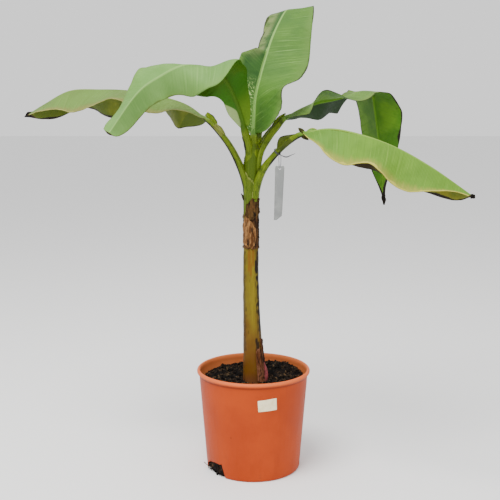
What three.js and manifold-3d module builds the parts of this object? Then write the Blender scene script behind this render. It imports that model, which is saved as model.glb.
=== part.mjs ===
// A young banana plant, 1.14 m tall, in a terracotta-coloured plastic container.
// Millimetres, +Z up. The origin is the middle of the pot's flat underside, and the
// front of the plant faces -Y. Headings are degrees from +X towards +Y.
import * as THREE from 'three';
import { mergeVertices } from 'three/addons/utils/BufferGeometryUtils.js';
import Module from 'manifold-3d';

const wasm = await Module();
wasm.setup();

// Clearance between pieces that touch on the real plant, and where a bent blade is
// split in two.
const GAP = 0.32;
const SPLIT_GAP = 0.64;

// Pot: a thin conical shell with a rolled rim.
const POT_HEIGHT = 252;
const RIM_RADIUS = 140;
const BEAD_HEIGHT = 11;
const NECK_RADIUS = 134.6;
const FOOT_RADIUS = 116;
const FOOT_ROUND = 5;
const FOOT_CORNER = 1.5;
const WALL = 2.5;
const FLOOR = 3;
const POT_SIDES = 56;

// The broken drainage corner of the pot's foot, seen from outside along its heading:
// distances to the side and up from the floor.
const BREAK_HEADING = 213;
const BREAK_OUTLINE = [[42, -1], [33, 34], [-8, 31], [-36, 17], [-50, -1]];
const BREAK_DEPTH = { inside: 28, outside: 12 };

// Compost, level with the stem's foot, with a mound at the right and back.
const SOIL_LEVEL = 219;
const MOUND = { x: 70, y: 62, height: 16, spread: 42 };
const SOIL_RISE = { height: 9, run: 110 };
const SOIL_SIDES = 44;
const SOIL_CLEARANCE = 0.9;
const SOIL_SHOULDER = 205;
const SOIL_RINGS = [0.985, 0.86, 0.7, 0.52, 0.35, 0.235];

// Stem: leaning middle line and radii, evenly spaced from below the flat cut at the
// soil to the fork.
const STEM_LINE = [[2, 0, 212], [-1, 0, 296], [-4, 0, 380], [-6, 0, 464], [-6, 0, 548],
  [-6, 0, 632], [-5, 0, 716], [-3, 0, 800]];
const STEM_RADII = [28, 24, 20.8, 19, 18.3, 18, 18.8, 16.5];
const STEM_SIDES = 18;

// Withered sheath that wraps the upper stem.
const SHEATH = { from: 0.57, to: 0.79, thickness: 1.4 };

// Leaves.
const BLADE_THICKNESS = 5.2;
const RIB_DEPTH = 5;
const TIP_HALF_WIDTH = 3;
const FOLD_WIDTH = 30;
const SPANS = 5;
const STALK_SIDES = 12;

// Each leaf has one middle line: the stalk from its sheath to the blade, then the
// blade's rib to its tip. A side's width, its droop below the rib and its further curl
// towards the margin are given evenly spaced along the blade, in mm and degrees. Left
// and right are as seen from the stem, and a negative droop is a raised side. Over each
// side stands the fullness of the blade's outline, sin(pi t^lean)^round. A tear narrows
// the side from below it and bends it by a step above it.
const LEAVES = {
  upright: {
    stalk: [[-1, 4, 784], [-1, 5, 806]],
    rib: [[0, 6, 827], [2, 16, 872], [6, 30, 917], [16, 48, 965], [29, 70, 1011],
      [45, 95, 1059], [66, 125, 1104], [85, 165, 1133], [97, 210, 1123], [104, 245, 1076]],
    stalkRadii: [13, 12, 9.5],
    heading: [85, 85],
    roll: [0, 0, 0, -6, -11, -10, -8],
    lean: 0.75,
    round: 0.5,
    left: {
      width: [60, 60, 61, 58, 76, 62, 70],
      droop: [-15, -15, -20, -30, -38, -50, -60, -88, -100, -100],
      tear: { at: 0.485, below: 0.08, above: 0.02, depth: 0.65, step: 95 },
    },
    right: {
      width: [120, 111, 97, 88],
      droop: [-45, -44, -48, -20, -2, 6, 4, 6, 0, 0],
    },
    parts: { rising: [0, 0.74], arching: [0.74, 1] },
  },
  near_left: {
    stalk: [[-7, -4, 735], [-11, -8, 790]],
    rib: [[-23, -18, 842], [-32, -30, 877], [-48, -48, 918], [-70, -70, 956], [-105, -95, 979],
      [-155, -122, 982], [-204, -145, 958], [-256, -165, 918], [-316, -190, 832]],
    stalkRadii: [9, 9.5, 9],
    heading: [270, 270],
    roll: [0, 0],
    lean: 0.8,
    round: 0.5,
    left: {
      width: [40, 48, 55, 64, 88, 84, 63, 73, 116],
      droop: [-45, -48, -50, -50, -50, -58, -68, -30, 15, 20, 20, 30, 34, 34, 40, 42, 30],
      curl: [0, 0, 0, 0, 0, 40, 115, 90, 65, 55, 45, 30, 15, 0, 0, 0, 0],
    },
    right: {
      width: [20, 31, 29, 55, 80, 93, 90, 68, 150],
      droop: [0, 0, 0, 10, 34, 42, 38, 26, 12, 8, 8, 14, 12, 14, 44, 60, 36],
      curl: [0, 0, 0, 0, 0, 0, 0, 0, 30, 50, 50, 40, 38, 12, 0, 0, 0],
    },
    parts: { rising: [0, 0.56], hanging: [0.56, 1] },
  },
  far_right: {
    stalk: [[4, 3, 720], [12, 5, 780], [34, 12, 820], [54, 20, 844]],
    rib: [[74, 30, 865], [113, 42, 888], [153, 46, 902], [193, 49, 910], [231, 57, 920],
      [264, 74, 930], [292, 92, 924], [303, 108, 884], [312, 116, 834], [321, 120, 779],
      [329, 122, 717], [334, 123, 645]],
    stalkRadii: [9, 10.5, 11, 10, 8],
    heading: [25, 28, 35, 42, 42, 42],
    roll: [0, 0],
    lean: 0.8,
    round: 0.6,
    left: {
      width: [82, 90, 92, 92, 84, 94, 103, 76, -5],
      droop: [30, 34, 42, 27, 31, 8, -6, -20, -20, -10, 0, 0],
    },
    right: {
      width: [60, 92, 94, 68, 53, 84, 92, 60, -12],
      droop: [10, 10, -21, -12, 8, 6, 2, -4, 0, 0, 0, 20],
    },
    parts: { arm: [0, 0.57], hanging: [0.57, 1] },
  },
  far_left: {
    stalk: [[-10, 0, 650], [-17, -3, 705], [-32, -5, 751], [-56, 0, 798], [-86, 10, 837]],
    rib: [[-113, 22, 863], [-158, 35, 896], [-215, 50, 915], [-302, 68, 931], [-377, 82, 934],
      [-454, 96, 931], [-519, 106, 899], [-572, 112, 867]],
    stalkRadii: [9, 9.5, 9, 8, 7.5, 7],
    heading: [163, 163],
    roll: [0, 0],
    lean: 0.8,
    round: 0.6,
    left: {
      width: [60, 95, 95, 80],
      droop: [5, 13, 26, 12, 28, 46, 26, 20],
    },
    right: {
      width: [95, 95, 95, 80],
      droop: [50, 58, 54, 22, 25, 46, 34, 34, 54, 34],
    },
    parts: { '': [0, 1] },
  },
  near_right: {
    stalk: [[0, -5, 650], [7, -10, 702], [21, -19, 741], [43, -31, 772], [75, -49, 806]],
    rib: [[114, -70, 831], [173, -98, 843], [242, -130, 830], [316, -162, 802],
      [384, -190, 763], [446, -214, 719], [476, -225, 696]],
    stalkRadii: [9, 9.5, 9, 8, 7.5, 7],
    heading: [-24, -24],
    roll: [0, 0],
    lean: 0.85,
    round: 0.9,
    left: {
      width: [90, 92, 90, 80],
      droop: [-50, 20, 60, 66, 60, 54, 55, 58, 60, 62, 61, 58, 52],
    },
    right: {
      width: [80, 88, 95, 94, 90, 81, 90, 96, 98, 82, 48, 50, 60],
      droop: [40, 44, 50, 56, 51, 36, 32, 46, 48, 34, 26, 26, 28],
    },
    parts: { '': [0, 1] },
  },
};

// Plain plastic tag on the near right stalk: where its ring sits along the leaf's line,
// and the strip that hangs from it.
const TAG = { width: 22, length: 128, thickness: 1.4, slant: 10, taper: 5.5, lean: 2.5 };
const TAG_RING = { place: 0.312, reach: 0.0045, wall: 1.5 };
const TAG_STRAND = { x: 61.5, y: -42, top: 786, length: 34, width: 7, band: 1.4 };
const TAG_TAIL = { length: 27, depth: 1.6, height: 3, lift: 14 };

const GREEN_STALK = new THREE.Color(0x7a8a2a);
const LEAF_GREEN = new THREE.Color(0x86ad68);

const plant = new THREE.Group();
plant.name = 'banana_plant';

function addPiece(name, geometry, color, roughness) {
  const material = new THREE.MeshStandardMaterial({ color, roughness, metalness: 0 });
  const mesh = new THREE.Mesh(geometry, material);
  mesh.name = name;
  plant.add(mesh);
}

// Solids are joined and cut as closed meshes with shared vertices.
function toSolid(geometry) {
  const bare = geometry.clone();
  bare.deleteAttribute('normal');
  bare.deleteAttribute('uv');
  const merged = mergeVertices(bare, 1e-4);
  return new wasm.Manifold(new wasm.Mesh({
    numProp: 3,
    vertProperties: new Float32Array(merged.attributes.position.array),
    triVerts: new Uint32Array(merged.index.array),
  }));
}

function toGeometry(solid) {
  const mesh = solid.getMesh();
  const geometry = new THREE.BufferGeometry();
  geometry.setAttribute('position', new THREE.BufferAttribute(mesh.vertProperties, 3));
  geometry.setIndex(new THREE.BufferAttribute(mesh.triVerts, 1));
  return geometry;
}

// A smooth curve through evenly spaced numbers or points, with t from 0 to 1.
function through(values, t) {
  const spans = values.length - 1;
  const place = Math.min(Math.max(t, 0), 1) * spans;
  const i = Math.min(Math.floor(place), spans - 1);
  const f = place - i;
  if (Array.isArray(values[0])) {
    return values[0].map((_, axis) => through(values.map((v) => v[axis]), t));
  }
  const b = values[i];
  const c = values[i + 1];
  const a = i > 0 ? values[i - 1] : 2 * b - c;
  const d = i + 2 <= spans ? values[i + 2] : 2 * c - b;
  return 0.5 * (2 * b + (c - a) * f + (2 * a - 5 * b + 4 * c - d) * f * f
    + (3 * b - a - 3 * c + d) * f ** 3);
}

function pointOn(line, t) {
  return new THREE.Vector3(...through(line, t));
}

function directionOn(line, t) {
  const step = 1e-3;
  const before = pointOn(line, Math.max(t - step, 0));
  return pointOn(line, Math.min(t + step, 1)).sub(before).normalize();
}

// Skins rings of equal point counts into a closed body. A round ring is capped by a fan
// from its middle, and a flat blade's ring by a strip between its two faces.
function skin(rings, cap) {
  const count = rings[0].length;
  const points = rings.flat();
  const faces = [];
  for (let r = 0; r + 1 < rings.length; r += 1) {
    for (let k = 0; k < count; k += 1) {
      const a = r * count + k;
      const b = r * count + (k + 1) % count;
      faces.push(a, b, b + count, a, b + count, a + count);
    }
  }
  const capRing = (start, flip) => {
    const add = (a, b, c) => faces.push(...(flip ? [a, c, b] : [a, b, c]));
    if (cap === 'strip') {
      for (let k = 0; k + 1 < count / 2; k += 1) {
        const far = count - 1 - k;
        add(start + k, start + far, start + far - 1);
        add(start + k, start + far - 1, start + k + 1);
      }
      return;
    }
    const middle = new THREE.Vector3();
    for (let k = 0; k < count; k += 1) middle.add(points[start + k]);
    points.push(middle.divideScalar(count));
    for (let k = 0; k < count; k += 1) add(start + (k + 1) % count, start + k, points.length - 1);
  };
  capRing(0, false);
  capRing((rings.length - 1) * count, true);

  const geometry = new THREE.BufferGeometry();
  const numbers = points.flatMap((p) => [p.x, p.y, p.z]);
  geometry.setAttribute('position', new THREE.Float32BufferAttribute(numbers, 3));
  geometry.setIndex(faceOutwards(points, faces));
  return geometry;
}

function faceOutwards(points, faces) {
  let volume = 0;
  for (let f = 0; f < faces.length; f += 3) {
    const [a, b, c] = [0, 1, 2].map((k) => points[faces[f + k]]);
    volume += a.dot(new THREE.Vector3().crossVectors(b, c));
  }
  if (volume > 0) return faces;
  return faces.flatMap((_, k) => (k % 3 === 0 ? [faces[k], faces[k + 2], faces[k + 1]] : []));
}

// A tapering round limb along a line. The extra radius also lengthens both ends, so the
// same limb with GAP added is the space that a neighbour has to leave free.
function limb(line, radii, { from = 0, to = 1, steps, sides, extra = 0 }) {
  const rings = [];
  for (let i = 0; i <= steps; i += 1) {
    const t = from + (to - from) * i / steps;
    const middle = pointOn(line, t);
    const along = directionOn(line, t);
    if (i === 0) middle.addScaledVector(along, -extra);
    if (i === steps) middle.addScaledVector(along, extra);
    const side = new THREE.Vector3(0, 1, 0).addScaledVector(along, -along.y).normalize();
    const other = new THREE.Vector3().crossVectors(along, side);
    const radius = through(radii, (t - from) / (to - from)) + extra;
    rings.push(Array.from({ length: sides }, (_, k) => {
      const angle = 2 * Math.PI * k / sides;
      return middle.clone().addScaledVector(side, radius * Math.cos(angle))
        .addScaledVector(other, radius * Math.sin(angle));
    }));
  }
  return skin(rings, 'fan');
}

// Pot: the shell's outline turned about Z, with the broken corner cut out.
function makePot() {
  const bead = BEAD_HEIGHT / 2;
  const beadSteps = 6;
  const neck = POT_HEIGHT - BEAD_HEIGHT;
  const roundBead = Array.from({ length: beadSteps + 1 }, (_, i) => {
    const angle = -Math.PI / 2 + Math.PI * i / beadSteps;
    return [RIM_RADIUS - bead + bead * Math.cos(angle), POT_HEIGHT - bead + bead * Math.sin(angle)];
  });
  const outline = [[0, 0], [FOOT_RADIUS - FOOT_ROUND, 0], [FOOT_RADIUS - FOOT_CORNER, FOOT_CORNER],
    [FOOT_RADIUS, FOOT_ROUND], [NECK_RADIUS, neck], ...roundBead,
    [NECK_RADIUS - WALL, neck], [FOOT_RADIUS - WALL, FLOOR + FOOT_CORNER],
    [FOOT_RADIUS - WALL - FOOT_CORNER, FLOOR], [0, FLOOR]];
  const turned = new THREE.LatheGeometry(outline.map(([r, z]) => new THREE.Vector2(r, z)), POT_SIDES);

  const hole = new THREE.Shape(BREAK_OUTLINE.map(([side, up]) => new THREE.Vector2(side, up)));
  const depth = BREAK_DEPTH.inside + BREAK_DEPTH.outside;
  const cutter = new THREE.ExtrudeGeometry(hole, { depth, bevelEnabled: false });
  cutter.rotateX(Math.PI / 2).translate(0, BREAK_DEPTH.inside - FOOT_RADIUS, 0);
  cutter.rotateZ(THREE.MathUtils.degToRad(BREAK_HEADING - 270));
  return toGeometry(toSolid(turned.rotateX(Math.PI / 2)).subtract(toSolid(cutter)));
}

// Compost: fills the shell, flat where the stem stands.
function soilHeight(x, y) {
  const mound = MOUND.height * Math.exp(-((x - MOUND.x) ** 2 + (y - MOUND.y) ** 2) / MOUND.spread ** 2);
  const lumps = 2.2 * Math.sin(x / 11 + 1) * Math.cos(y / 13) + 1.6 * Math.sin(x / 23 - y / 17);
  const clear = THREE.MathUtils.smoothstep(Math.hypot(x, y), STEM_RADII[0] + 3, STEM_RADII[0] + 28);
  const rise = SOIL_RISE.height * THREE.MathUtils.smoothstep(y, 0, SOIL_RISE.run);
  return SOIL_LEVEL + clear * (mound + lumps + rise);
}

function makeSoil() {
  const neck = POT_HEIGHT - BEAD_HEIGHT;
  const inside = (z) => THREE.MathUtils.lerp(FOOT_RADIUS, NECK_RADIUS, z / neck) - WALL - SOIL_CLEARANCE;
  const ring = (radius, height) => Array.from({ length: SOIL_SIDES }, (_, k) => {
    const angle = 2 * Math.PI * k / SOIL_SIDES;
    const x = radius * Math.cos(angle);
    const y = radius * Math.sin(angle);
    return new THREE.Vector3(x, y, height ?? soilHeight(x, y));
  });
  const low = FLOOR + GAP;
  const sides = [[inside(low) - FOOT_ROUND, low], [inside(low + FOOT_ROUND), low + FOOT_ROUND],
    [inside(SOIL_SHOULDER), SOIL_SHOULDER]];
  const top = SOIL_RINGS.map((share) => [share * inside(SOIL_LEVEL)]);
  return skin([...sides, ...top].map(([radius, height]) => ring(radius, height)), 'fan');
}

// Where a leaf's middle line passes from the stalk to the blade.
function wholeLine(leaf) {
  return [...leaf.stalk, ...leaf.rib];
}

function bladeStart(leaf) {
  return leaf.stalk.length / (leaf.stalk.length + leaf.rib.length - 1);
}

// The cross-section's frame at t along the blade: across to the left, and up.
function bladeFrame(leaf, t) {
  const line = wholeLine(leaf);
  const u = THREE.MathUtils.lerp(bladeStart(leaf), 1, t);
  const along = directionOn(line, u);
  const heading = THREE.MathUtils.degToRad(through(leaf.heading, t));
  const across = new THREE.Vector3(-Math.sin(heading), Math.cos(heading), 0);
  across.addScaledVector(along, -along.dot(across)).normalize();
  across.applyAxisAngle(along, THREE.MathUtils.degToRad(through(leaf.roll, t)));
  return { middle: pointOn(line, u), along, across, up: new THREE.Vector3().crossVectors(along, across) };
}

// One side of the cross-section, from the rib to the margin, as [across, up] pairs.
function sideProfile(leaf, side, t) {
  const outline = Math.sin(Math.PI * t ** leaf.lean) ** leaf.round;
  let width = through(side.width, t) * outline + TIP_HALF_WIDTH;
  let droop = through(side.droop, t);
  if (side.tear) {
    const { at, below, above, depth, step } = side.tear;
    const past = t < at ? (at - t) / below : (t - at) / above;
    width *= 1 - depth * Math.max(0, 1 - past);
    droop += step * THREE.MathUtils.smoothstep(t, at - above, at + above);
  }
  const fold = THREE.MathUtils.smoothstep(width, 0, FOLD_WIDTH);
  const curl = side.curl ? through(side.curl, t) : 0;
  const profile = [[0, 0]];
  for (let k = 0; k < SPANS; k += 1) {
    const angle = THREE.MathUtils.degToRad(fold * (droop + curl * (k + 0.5) / SPANS));
    const [across, up] = profile[k];
    profile.push([across + width / SPANS * Math.cos(angle), up - width / SPANS * Math.sin(angle)]);
  }
  return profile;
}

function bladeRing(leaf, t, shift) {
  const { middle, along, across, up } = bladeFrame(leaf, t);
  middle.addScaledVector(along, shift);
  const left = sideProfile(leaf, leaf.left, t);
  const right = sideProfile(leaf, leaf.right, t).slice(1).map(([a, b]) => [-a, b]).reverse();
  const profile = [...right, ...left];
  const place = (a, b) => middle.clone().addScaledVector(across, a).addScaledVector(up, b);
  const top = [];
  const bottom = [];
  profile.forEach(([a, b], k) => {
    const before = profile[Math.max(k - 1, 0)];
    const after = profile[Math.min(k + 1, profile.length - 1)];
    const slope = new THREE.Vector2(after[0] - before[0], after[1] - before[1]).normalize();
    const half = BLADE_THICKNESS / 2;
    const keel = k === SPANS ? RIB_DEPTH * (1 - t) : 0;
    top.push(place(a - slope.y * half, b + slope.x * half));
    bottom.push(place(a + slope.y * (half + keel), b - slope.x * (half + keel)));
  });
  return [...top, ...bottom.reverse()];
}

function bladeStations(leaf, from, to) {
  const steps = Math.round((to - from) * 26);
  const stations = Array.from({ length: steps + 1 }, (_, i) => from + (to - from) * i / steps);
  const { tear } = leaf.left;
  if (!tear || tear.at < from || tear.at > to) return stations;
  const { at, below, above } = tear;
  const lips = [at - below, at - below / 2, at - above, at, at + above];
  const others = stations.filter((t) => t < at - 1.2 * below || t > at + 1.6 * above);
  return [...others, ...lips].sort((a, b) => a - b);
}

function makeBlade(leaf, [from, to]) {
  const stations = bladeStations(leaf, from, to);
  const rings = stations.map((t, i) => {
    let shift = 0;
    if (i === 0) shift = (from > 0 ? SPLIT_GAP : GAP) / 2;
    if (i === stations.length - 1 && to < 1) shift = -SPLIT_GAP / 2;
    return bladeRing(leaf, t, shift);
  });
  return skin(rings, 'strip');
}

// A stalk is cut back from the stem and from the stalks that were placed before it.
function stalkBody(leaf, extra) {
  const line = wholeLine(leaf);
  const end = bladeStart(leaf);
  const steps = 4 * leaf.stalk.length;
  const reach = { to: end, steps, sides: STALK_SIDES, extra: extra - GAP / 2 };
  return toSolid(limb(line, leaf.stalkRadii, reach));
}

function stemBody(extra) {
  const size = 4 * STEM_RADII[0];
  const ground = new THREE.BoxGeometry(size, size, size);
  ground.translate(0, 0, SOIL_LEVEL + GAP - extra - size / 2);
  const whole = limb(STEM_LINE, STEM_RADII, { steps: 21, sides: STEM_SIDES, extra });
  return toSolid(whole).subtract(toSolid(ground));
}

// Tag: a ring round the stalk, a loop of two strands below it, a strip with a slanting
// foot, and the loop's loose tail.
function makeTag(leaf) {
  const line = wholeLine(leaf);
  const radius = through(leaf.stalkRadii, TAG_RING.place / bladeStart(leaf)) + TAG_RING.wall + GAP;
  const [from, to] = [TAG_RING.place - TAG_RING.reach, TAG_RING.place + TAG_RING.reach];
  const ring = limb(line, [radius, radius], { from, to, steps: 2, sides: STALK_SIDES });

  const outline = (corners) => corners.map(([x, y]) => new THREE.Vector2(x, y));
  const half = TAG.width / 2;
  const strip = new THREE.Shape(outline([[-half, 0], [half, 0],
    [half - TAG.taper, TAG.slant - TAG.length], [-half - TAG.lean, -TAG.length]]));
  const link = TAG_STRAND.width / 2;
  const rise = TAG_STRAND.length;
  const band = TAG_STRAND.band;
  const strands = new THREE.Shape(outline([[-link, 0], [link, 0], [link, rise], [-link, rise]]));
  const inner = link - band;
  const window = [[-inner, band], [inner, band], [inner, rise - band], [-inner, rise - band]];
  strands.holes.push(new THREE.Path(outline(window)));

  const flat = { depth: TAG.thickness, bevelEnabled: false };
  const foot = TAG_STRAND.top - rise;
  const hang = (shape, z) => new THREE.ExtrudeGeometry(shape, flat).rotateX(Math.PI / 2)
    .translate(TAG_STRAND.x, TAG_STRAND.y + TAG.thickness / 2, z);
  const along = directionOn(line, TAG_RING.place);
  const outward = new THREE.Vector3(1, 0, 0).addScaledVector(along, -along.x).normalize();
  const tail = new THREE.BoxGeometry(TAG_TAIL.length, TAG_TAIL.depth, TAG_TAIL.height);
  tail.translate(TAG_TAIL.length / 2 - TAG_RING.wall, 0, 0).rotateY(-THREE.MathUtils.degToRad(TAG_TAIL.lift));
  tail.translate(...pointOn(line, TAG_RING.place).addScaledVector(outward, radius));
  return [hang(strip, foot + 2), hang(strands, foot), tail].reduce(
    (whole, piece) => whole.add(toSolid(piece)), toSolid(ring)).subtract(stalkBody(leaf, GAP));
}

addPiece('pot', makePot(), 0xcd6232, 0.5);
addPiece('soil', makeSoil(), 0x2e2118, 0.95);
addPiece('stem', toGeometry(stemBody(0)), 0x8f8030, 0.6);

const sheathRadii = STEM_RADII.map((_, i) => {
  const share = i / (STEM_RADII.length - 1);
  return through(STEM_RADII, THREE.MathUtils.lerp(SHEATH.from, SHEATH.to, share));
});
const sheathWrap = limb(STEM_LINE, sheathRadii, {
  from: SHEATH.from, to: SHEATH.to, steps: 8, sides: STEM_SIDES, extra: SHEATH.thickness + GAP,
});
const taken = [stemBody(GAP)];

for (const [name, leaf] of Object.entries(LEAVES)) {
  const body = taken.reduce((left, neighbour) => left.subtract(neighbour), stalkBody(leaf, 0));
  addPiece(`stalk_${name}`, toGeometry(body), GREEN_STALK, 0.55);
  taken.push(stalkBody(leaf, GAP));
  for (const [part, reach] of Object.entries(leaf.parts)) {
    addPiece(part ? `blade_${name}_${part}` : `blade_${name}`, makeBlade(leaf, reach), LEAF_GREEN, 0.6);
  }
}

const sheath = taken.reduce((left, part) => left.subtract(part), toSolid(sheathWrap));
addPiece('withered_sheath', toGeometry(sheath), 0x8a6238, 0.9);
addPiece('tag', toGeometry(makeTag(LEAVES.near_right)), 0xd8dad8, 0.5);

export default plant;
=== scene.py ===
# A young banana plant in a terracotta-coloured plastic pot, dressed round its packed
# solids. Metres, +Z up, the origin under the pot and the front facing -Y.
import itertools
import math

import bpy
import numpy as np
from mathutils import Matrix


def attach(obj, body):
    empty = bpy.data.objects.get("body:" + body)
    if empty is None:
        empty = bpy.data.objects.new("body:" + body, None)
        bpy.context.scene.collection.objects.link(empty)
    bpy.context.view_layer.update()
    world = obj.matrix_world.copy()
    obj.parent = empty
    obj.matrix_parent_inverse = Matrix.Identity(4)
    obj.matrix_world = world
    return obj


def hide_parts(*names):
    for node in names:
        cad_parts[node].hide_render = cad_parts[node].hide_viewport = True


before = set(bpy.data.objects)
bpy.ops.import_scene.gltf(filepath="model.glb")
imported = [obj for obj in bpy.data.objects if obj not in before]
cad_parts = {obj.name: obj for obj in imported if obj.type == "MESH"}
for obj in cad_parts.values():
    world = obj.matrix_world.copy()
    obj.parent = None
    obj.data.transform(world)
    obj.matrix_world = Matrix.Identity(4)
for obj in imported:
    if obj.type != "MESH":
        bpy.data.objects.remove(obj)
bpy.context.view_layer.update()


# Pot: a round nursery pot of thin injection-moulded polypropylene. Its wall rises in one
# straight cone from a rounded foot to a rolled bead, and one drainage corner of the foot
# has broken away.
class Shade:
    """A socket in a material, on which Python's operators add Math nodes."""

    def __init__(self, tree, socket=None):
        self.tree = tree
        self.socket = socket

    def node(self, kind, settings, inputs, output=0):
        made = self.tree.nodes.new("ShaderNode" + kind)
        for name, value in settings.items():
            setattr(made, name, value)
        for name, value in inputs.items():
            if isinstance(value, Shade):
                self.tree.links.new(value.socket, made.inputs[name])
            else:
                made.inputs[name].default_value = value
        return Shade(self.tree, made.outputs[output])

    def math(self, operation, *values):
        return self.node("Math", {"operation": operation}, dict(enumerate(values)))

    def __add__(self, other):
        return self.math("ADD", self, other)

    def __sub__(self, other):
        return self.math("SUBTRACT", self, other)

    def __rsub__(self, other):
        return self.math("SUBTRACT", other, self)

    def __mul__(self, other):
        return self.math("MULTIPLY", self, other)

    def __abs__(self):
        return self.math("ABSOLUTE", self)

    __radd__ = __add__
    __rmul__ = __mul__

    def band(self, low, high):
        """0 below low, 1 above high, and smooth between them."""
        return self.node("MapRange", {"interpolation_type": "SMOOTHSTEP"},
                         {"Value": self, "From Min": low, "From Max": high})

    def own(self, name):
        """A number kept on the mesh."""
        return self.node("Attribute", {"attribute_name": name}, {}, 2)

    def place(self):
        """How far across, back and up a point lies, each as a number."""
        here = self.node("TexCoord", {}, {}, "Object")
        return [self.node("SeparateXYZ", {}, {0: here}, k) for k in range(3)]

    def noise(self, scale, detail=3, roughness=0.55, where=None):
        """Noise from 0 to 1 in space, or where other coordinates say."""
        where = where or self.node("TexCoord", {}, {}, "Object")
        values = {"Vector": where, "Scale": scale, "Detail": detail, "Roughness": roughness}
        return self.node("TexNoise", {}, values)

    def fibre(self, x, y, z, detail=3, roughness=0.55):
        """Noise that is drawn out along the coordinates with the smaller factors."""
        return self.noise(1, detail, roughness, self.node("CombineXYZ", {}, {0: x, 1: y, 2: z}))

    def tone(self, *seen):
        """A colour as seen on screen, its red, green and blue from 0 to 255."""
        seen = np.array(seen) / 255
        seen = np.where(seen <= 0.04045, seen / 12.92, ((seen + 0.055) / 1.055) ** 2.4)
        return self.node("CombineColor", {}, dict(enumerate(seen.tolist())))

    def mix(self, other, share):
        """From this colour to another as share goes from 0 to 1."""
        return self.node("Mix", {"data_type": "RGBA"}, {0: share, 6: self, 7: other}, 2)

    def layered(self, *layers):
        """This colour with tones laid over it, each as red, green, blue and its share."""
        seen = self
        for *tone, share in layers:
            seen = seen.mix(self.tone(*tone), share)
        return seen

    def bump(self, height, depth, strength=1.0):
        return self.node("Bump", {}, {"Height": height, "Distance": depth, "Strength": strength})


SHEEN = 0.14


def material(name, skin, *settings):
    """A material whose colour, roughness and, for most, relief come from a skin."""
    made = bpy.data.materials.new(name)
    made.use_nodes = True
    shader = made.node_tree.nodes["Principled BSDF"]
    shader.inputs["Specular IOR Level"].default_value = SHEEN
    for socket, shade in zip(("Base Color", "Roughness", "Normal"), skin(Shade(made.node_tree), *settings)):
        made.node_tree.links.new(shade.socket, shader.inputs[socket])
    return made


def show(name, data):
    made = bpy.data.objects.new(name, data)
    bpy.context.collection.objects.link(made)
    return made


def show_mesh(name, points, faces):
    mesh = bpy.data.meshes.new(name)
    mesh.from_pydata(np.asarray(points, float).tolist(), [], [list(map(int, face)) for face in faces])
    return show(name, mesh)


def piece(name, points, faces, finish, slot, nodes=(), **numbers):
    """A mesh object on the plant's one body, with numbers kept on its points: one for all,
    one for each, or worked out from the points."""
    made = show_mesh(name, points, faces)
    for key, values in numbers.items():
        values = np.asarray(values(points) if callable(values) else values, np.float32).ravel()
        kept = made.data.attributes.new(key, "FLOAT", "POINT")
        kept.data.foreach_set("value", np.broadcast_to(values, len(points)).copy())
    made.data.shade_smooth()
    made.data.materials.append(finish)
    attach(made, "root")
    if nodes:
        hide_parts(*nodes)
    return made


def grid_faces(rows, columns, closed=False):
    """Quads between rows of points, with the last column joined to the first if closed."""
    grid = np.arange(rows * columns).reshape(rows, columns)
    if closed:
        grid = np.hstack([grid, grid[:, :1]])
    return np.stack([grid[:-1, :-1], grid[:-1, 1:], grid[1:, 1:], grid[1:, :-1]], -1).reshape(-1, 4).tolist()


def limb_faces(rows, sides):
    """Faces of a row of rings, closed at both ends."""
    ends = [range(sides)[::-1], range((rows - 1) * sides, rows * sides)]
    return grid_faces(rows, sides, closed=True) + ends


def round_turn(count):
    """Evenly spaced angles once round."""
    return np.linspace(0, 2 * np.pi, count, endpoint=False)


def points_of(*numbers):
    """Points from their coordinates, which may be rows, columns or single numbers."""
    return np.stack(np.broadcast_arrays(*numbers), -1)


def polar(reach, angle, height):
    """Points by their distance and direction from the upright axis and their height."""
    return points_of(reach * np.cos(angle), reach * np.sin(angle), height)


POT_HEIGHT = 0.252
RIM_RADIUS = 0.14
# The bead's own radius, and the cone's outer radius and height where it meets the bead.
BEAD = 0.0055
NECK_RADIUS = 0.1346
NECK_HEIGHT = POT_HEIGHT - 2 * BEAD
# The cone's outer radius at the foot, and the radius of the foot's rounding.
FOOT_RADIUS = 0.116
FOOT_ROUND = 0.005
WALL = 0.0025
FLOOR = 0.003
# A small moulded mark in front, by how far across and up it is.
MARK = (-0.054, 0.111)
# The broken corner: its direction, its outline across and up, and how far its cut reaches
# into the compost and out of the pot.
BREAK_HEADING = math.radians(213)
BREAK = [(0.042, -0.001), (0.033, 0.034), (-0.008, 0.031), (-0.036, 0.017), (-0.05, -0.001)]
BREAK_DEPTH = (-0.028, 0.02)


def pot_radius(z):
    """The radius of the cone's outside."""
    return FOOT_RADIUS + (NECK_RADIUS - FOOT_RADIUS) / (NECK_HEIGHT - FOOT_ROUND) * (z - FOOT_ROUND)


def arc(reach, height, radius, angles):
    return [(reach + radius * math.cos(a), height + radius * math.sin(a)) for a in np.radians(angles)]


def pot_outline():
    """Reach and height from the floor's underside round the foot and the bead to its top."""
    foot, inside, mouth = FOOT_RADIUS - FOOT_ROUND, FOOT_RADIUS - WALL, NECK_RADIUS - WALL
    cone = FOOT_ROUND + (NECK_HEIGHT - FOOT_ROUND) * np.linspace(0.04, 1, 60)
    bead = arc(RIM_RADIUS - BEAD, POT_HEIGHT - BEAD, BEAD, np.linspace(-75, 90, 12))
    return [(0.04, 0), (0.08, 0), (foot, 0), *arc(foot, FOOT_ROUND, FOOT_ROUND, (-60, -30, 0)),
            *zip(pot_radius(cone), cone), *bead,
            (mouth + 0.0012, POT_HEIGHT - 0.001), (mouth, POT_HEIGHT - 0.004), (mouth, NECK_HEIGHT),
            (inside + 0.004, 0.06), (inside, FLOOR + 0.003), (inside - 0.003, FLOOR), (0.05, FLOOR)]


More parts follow.
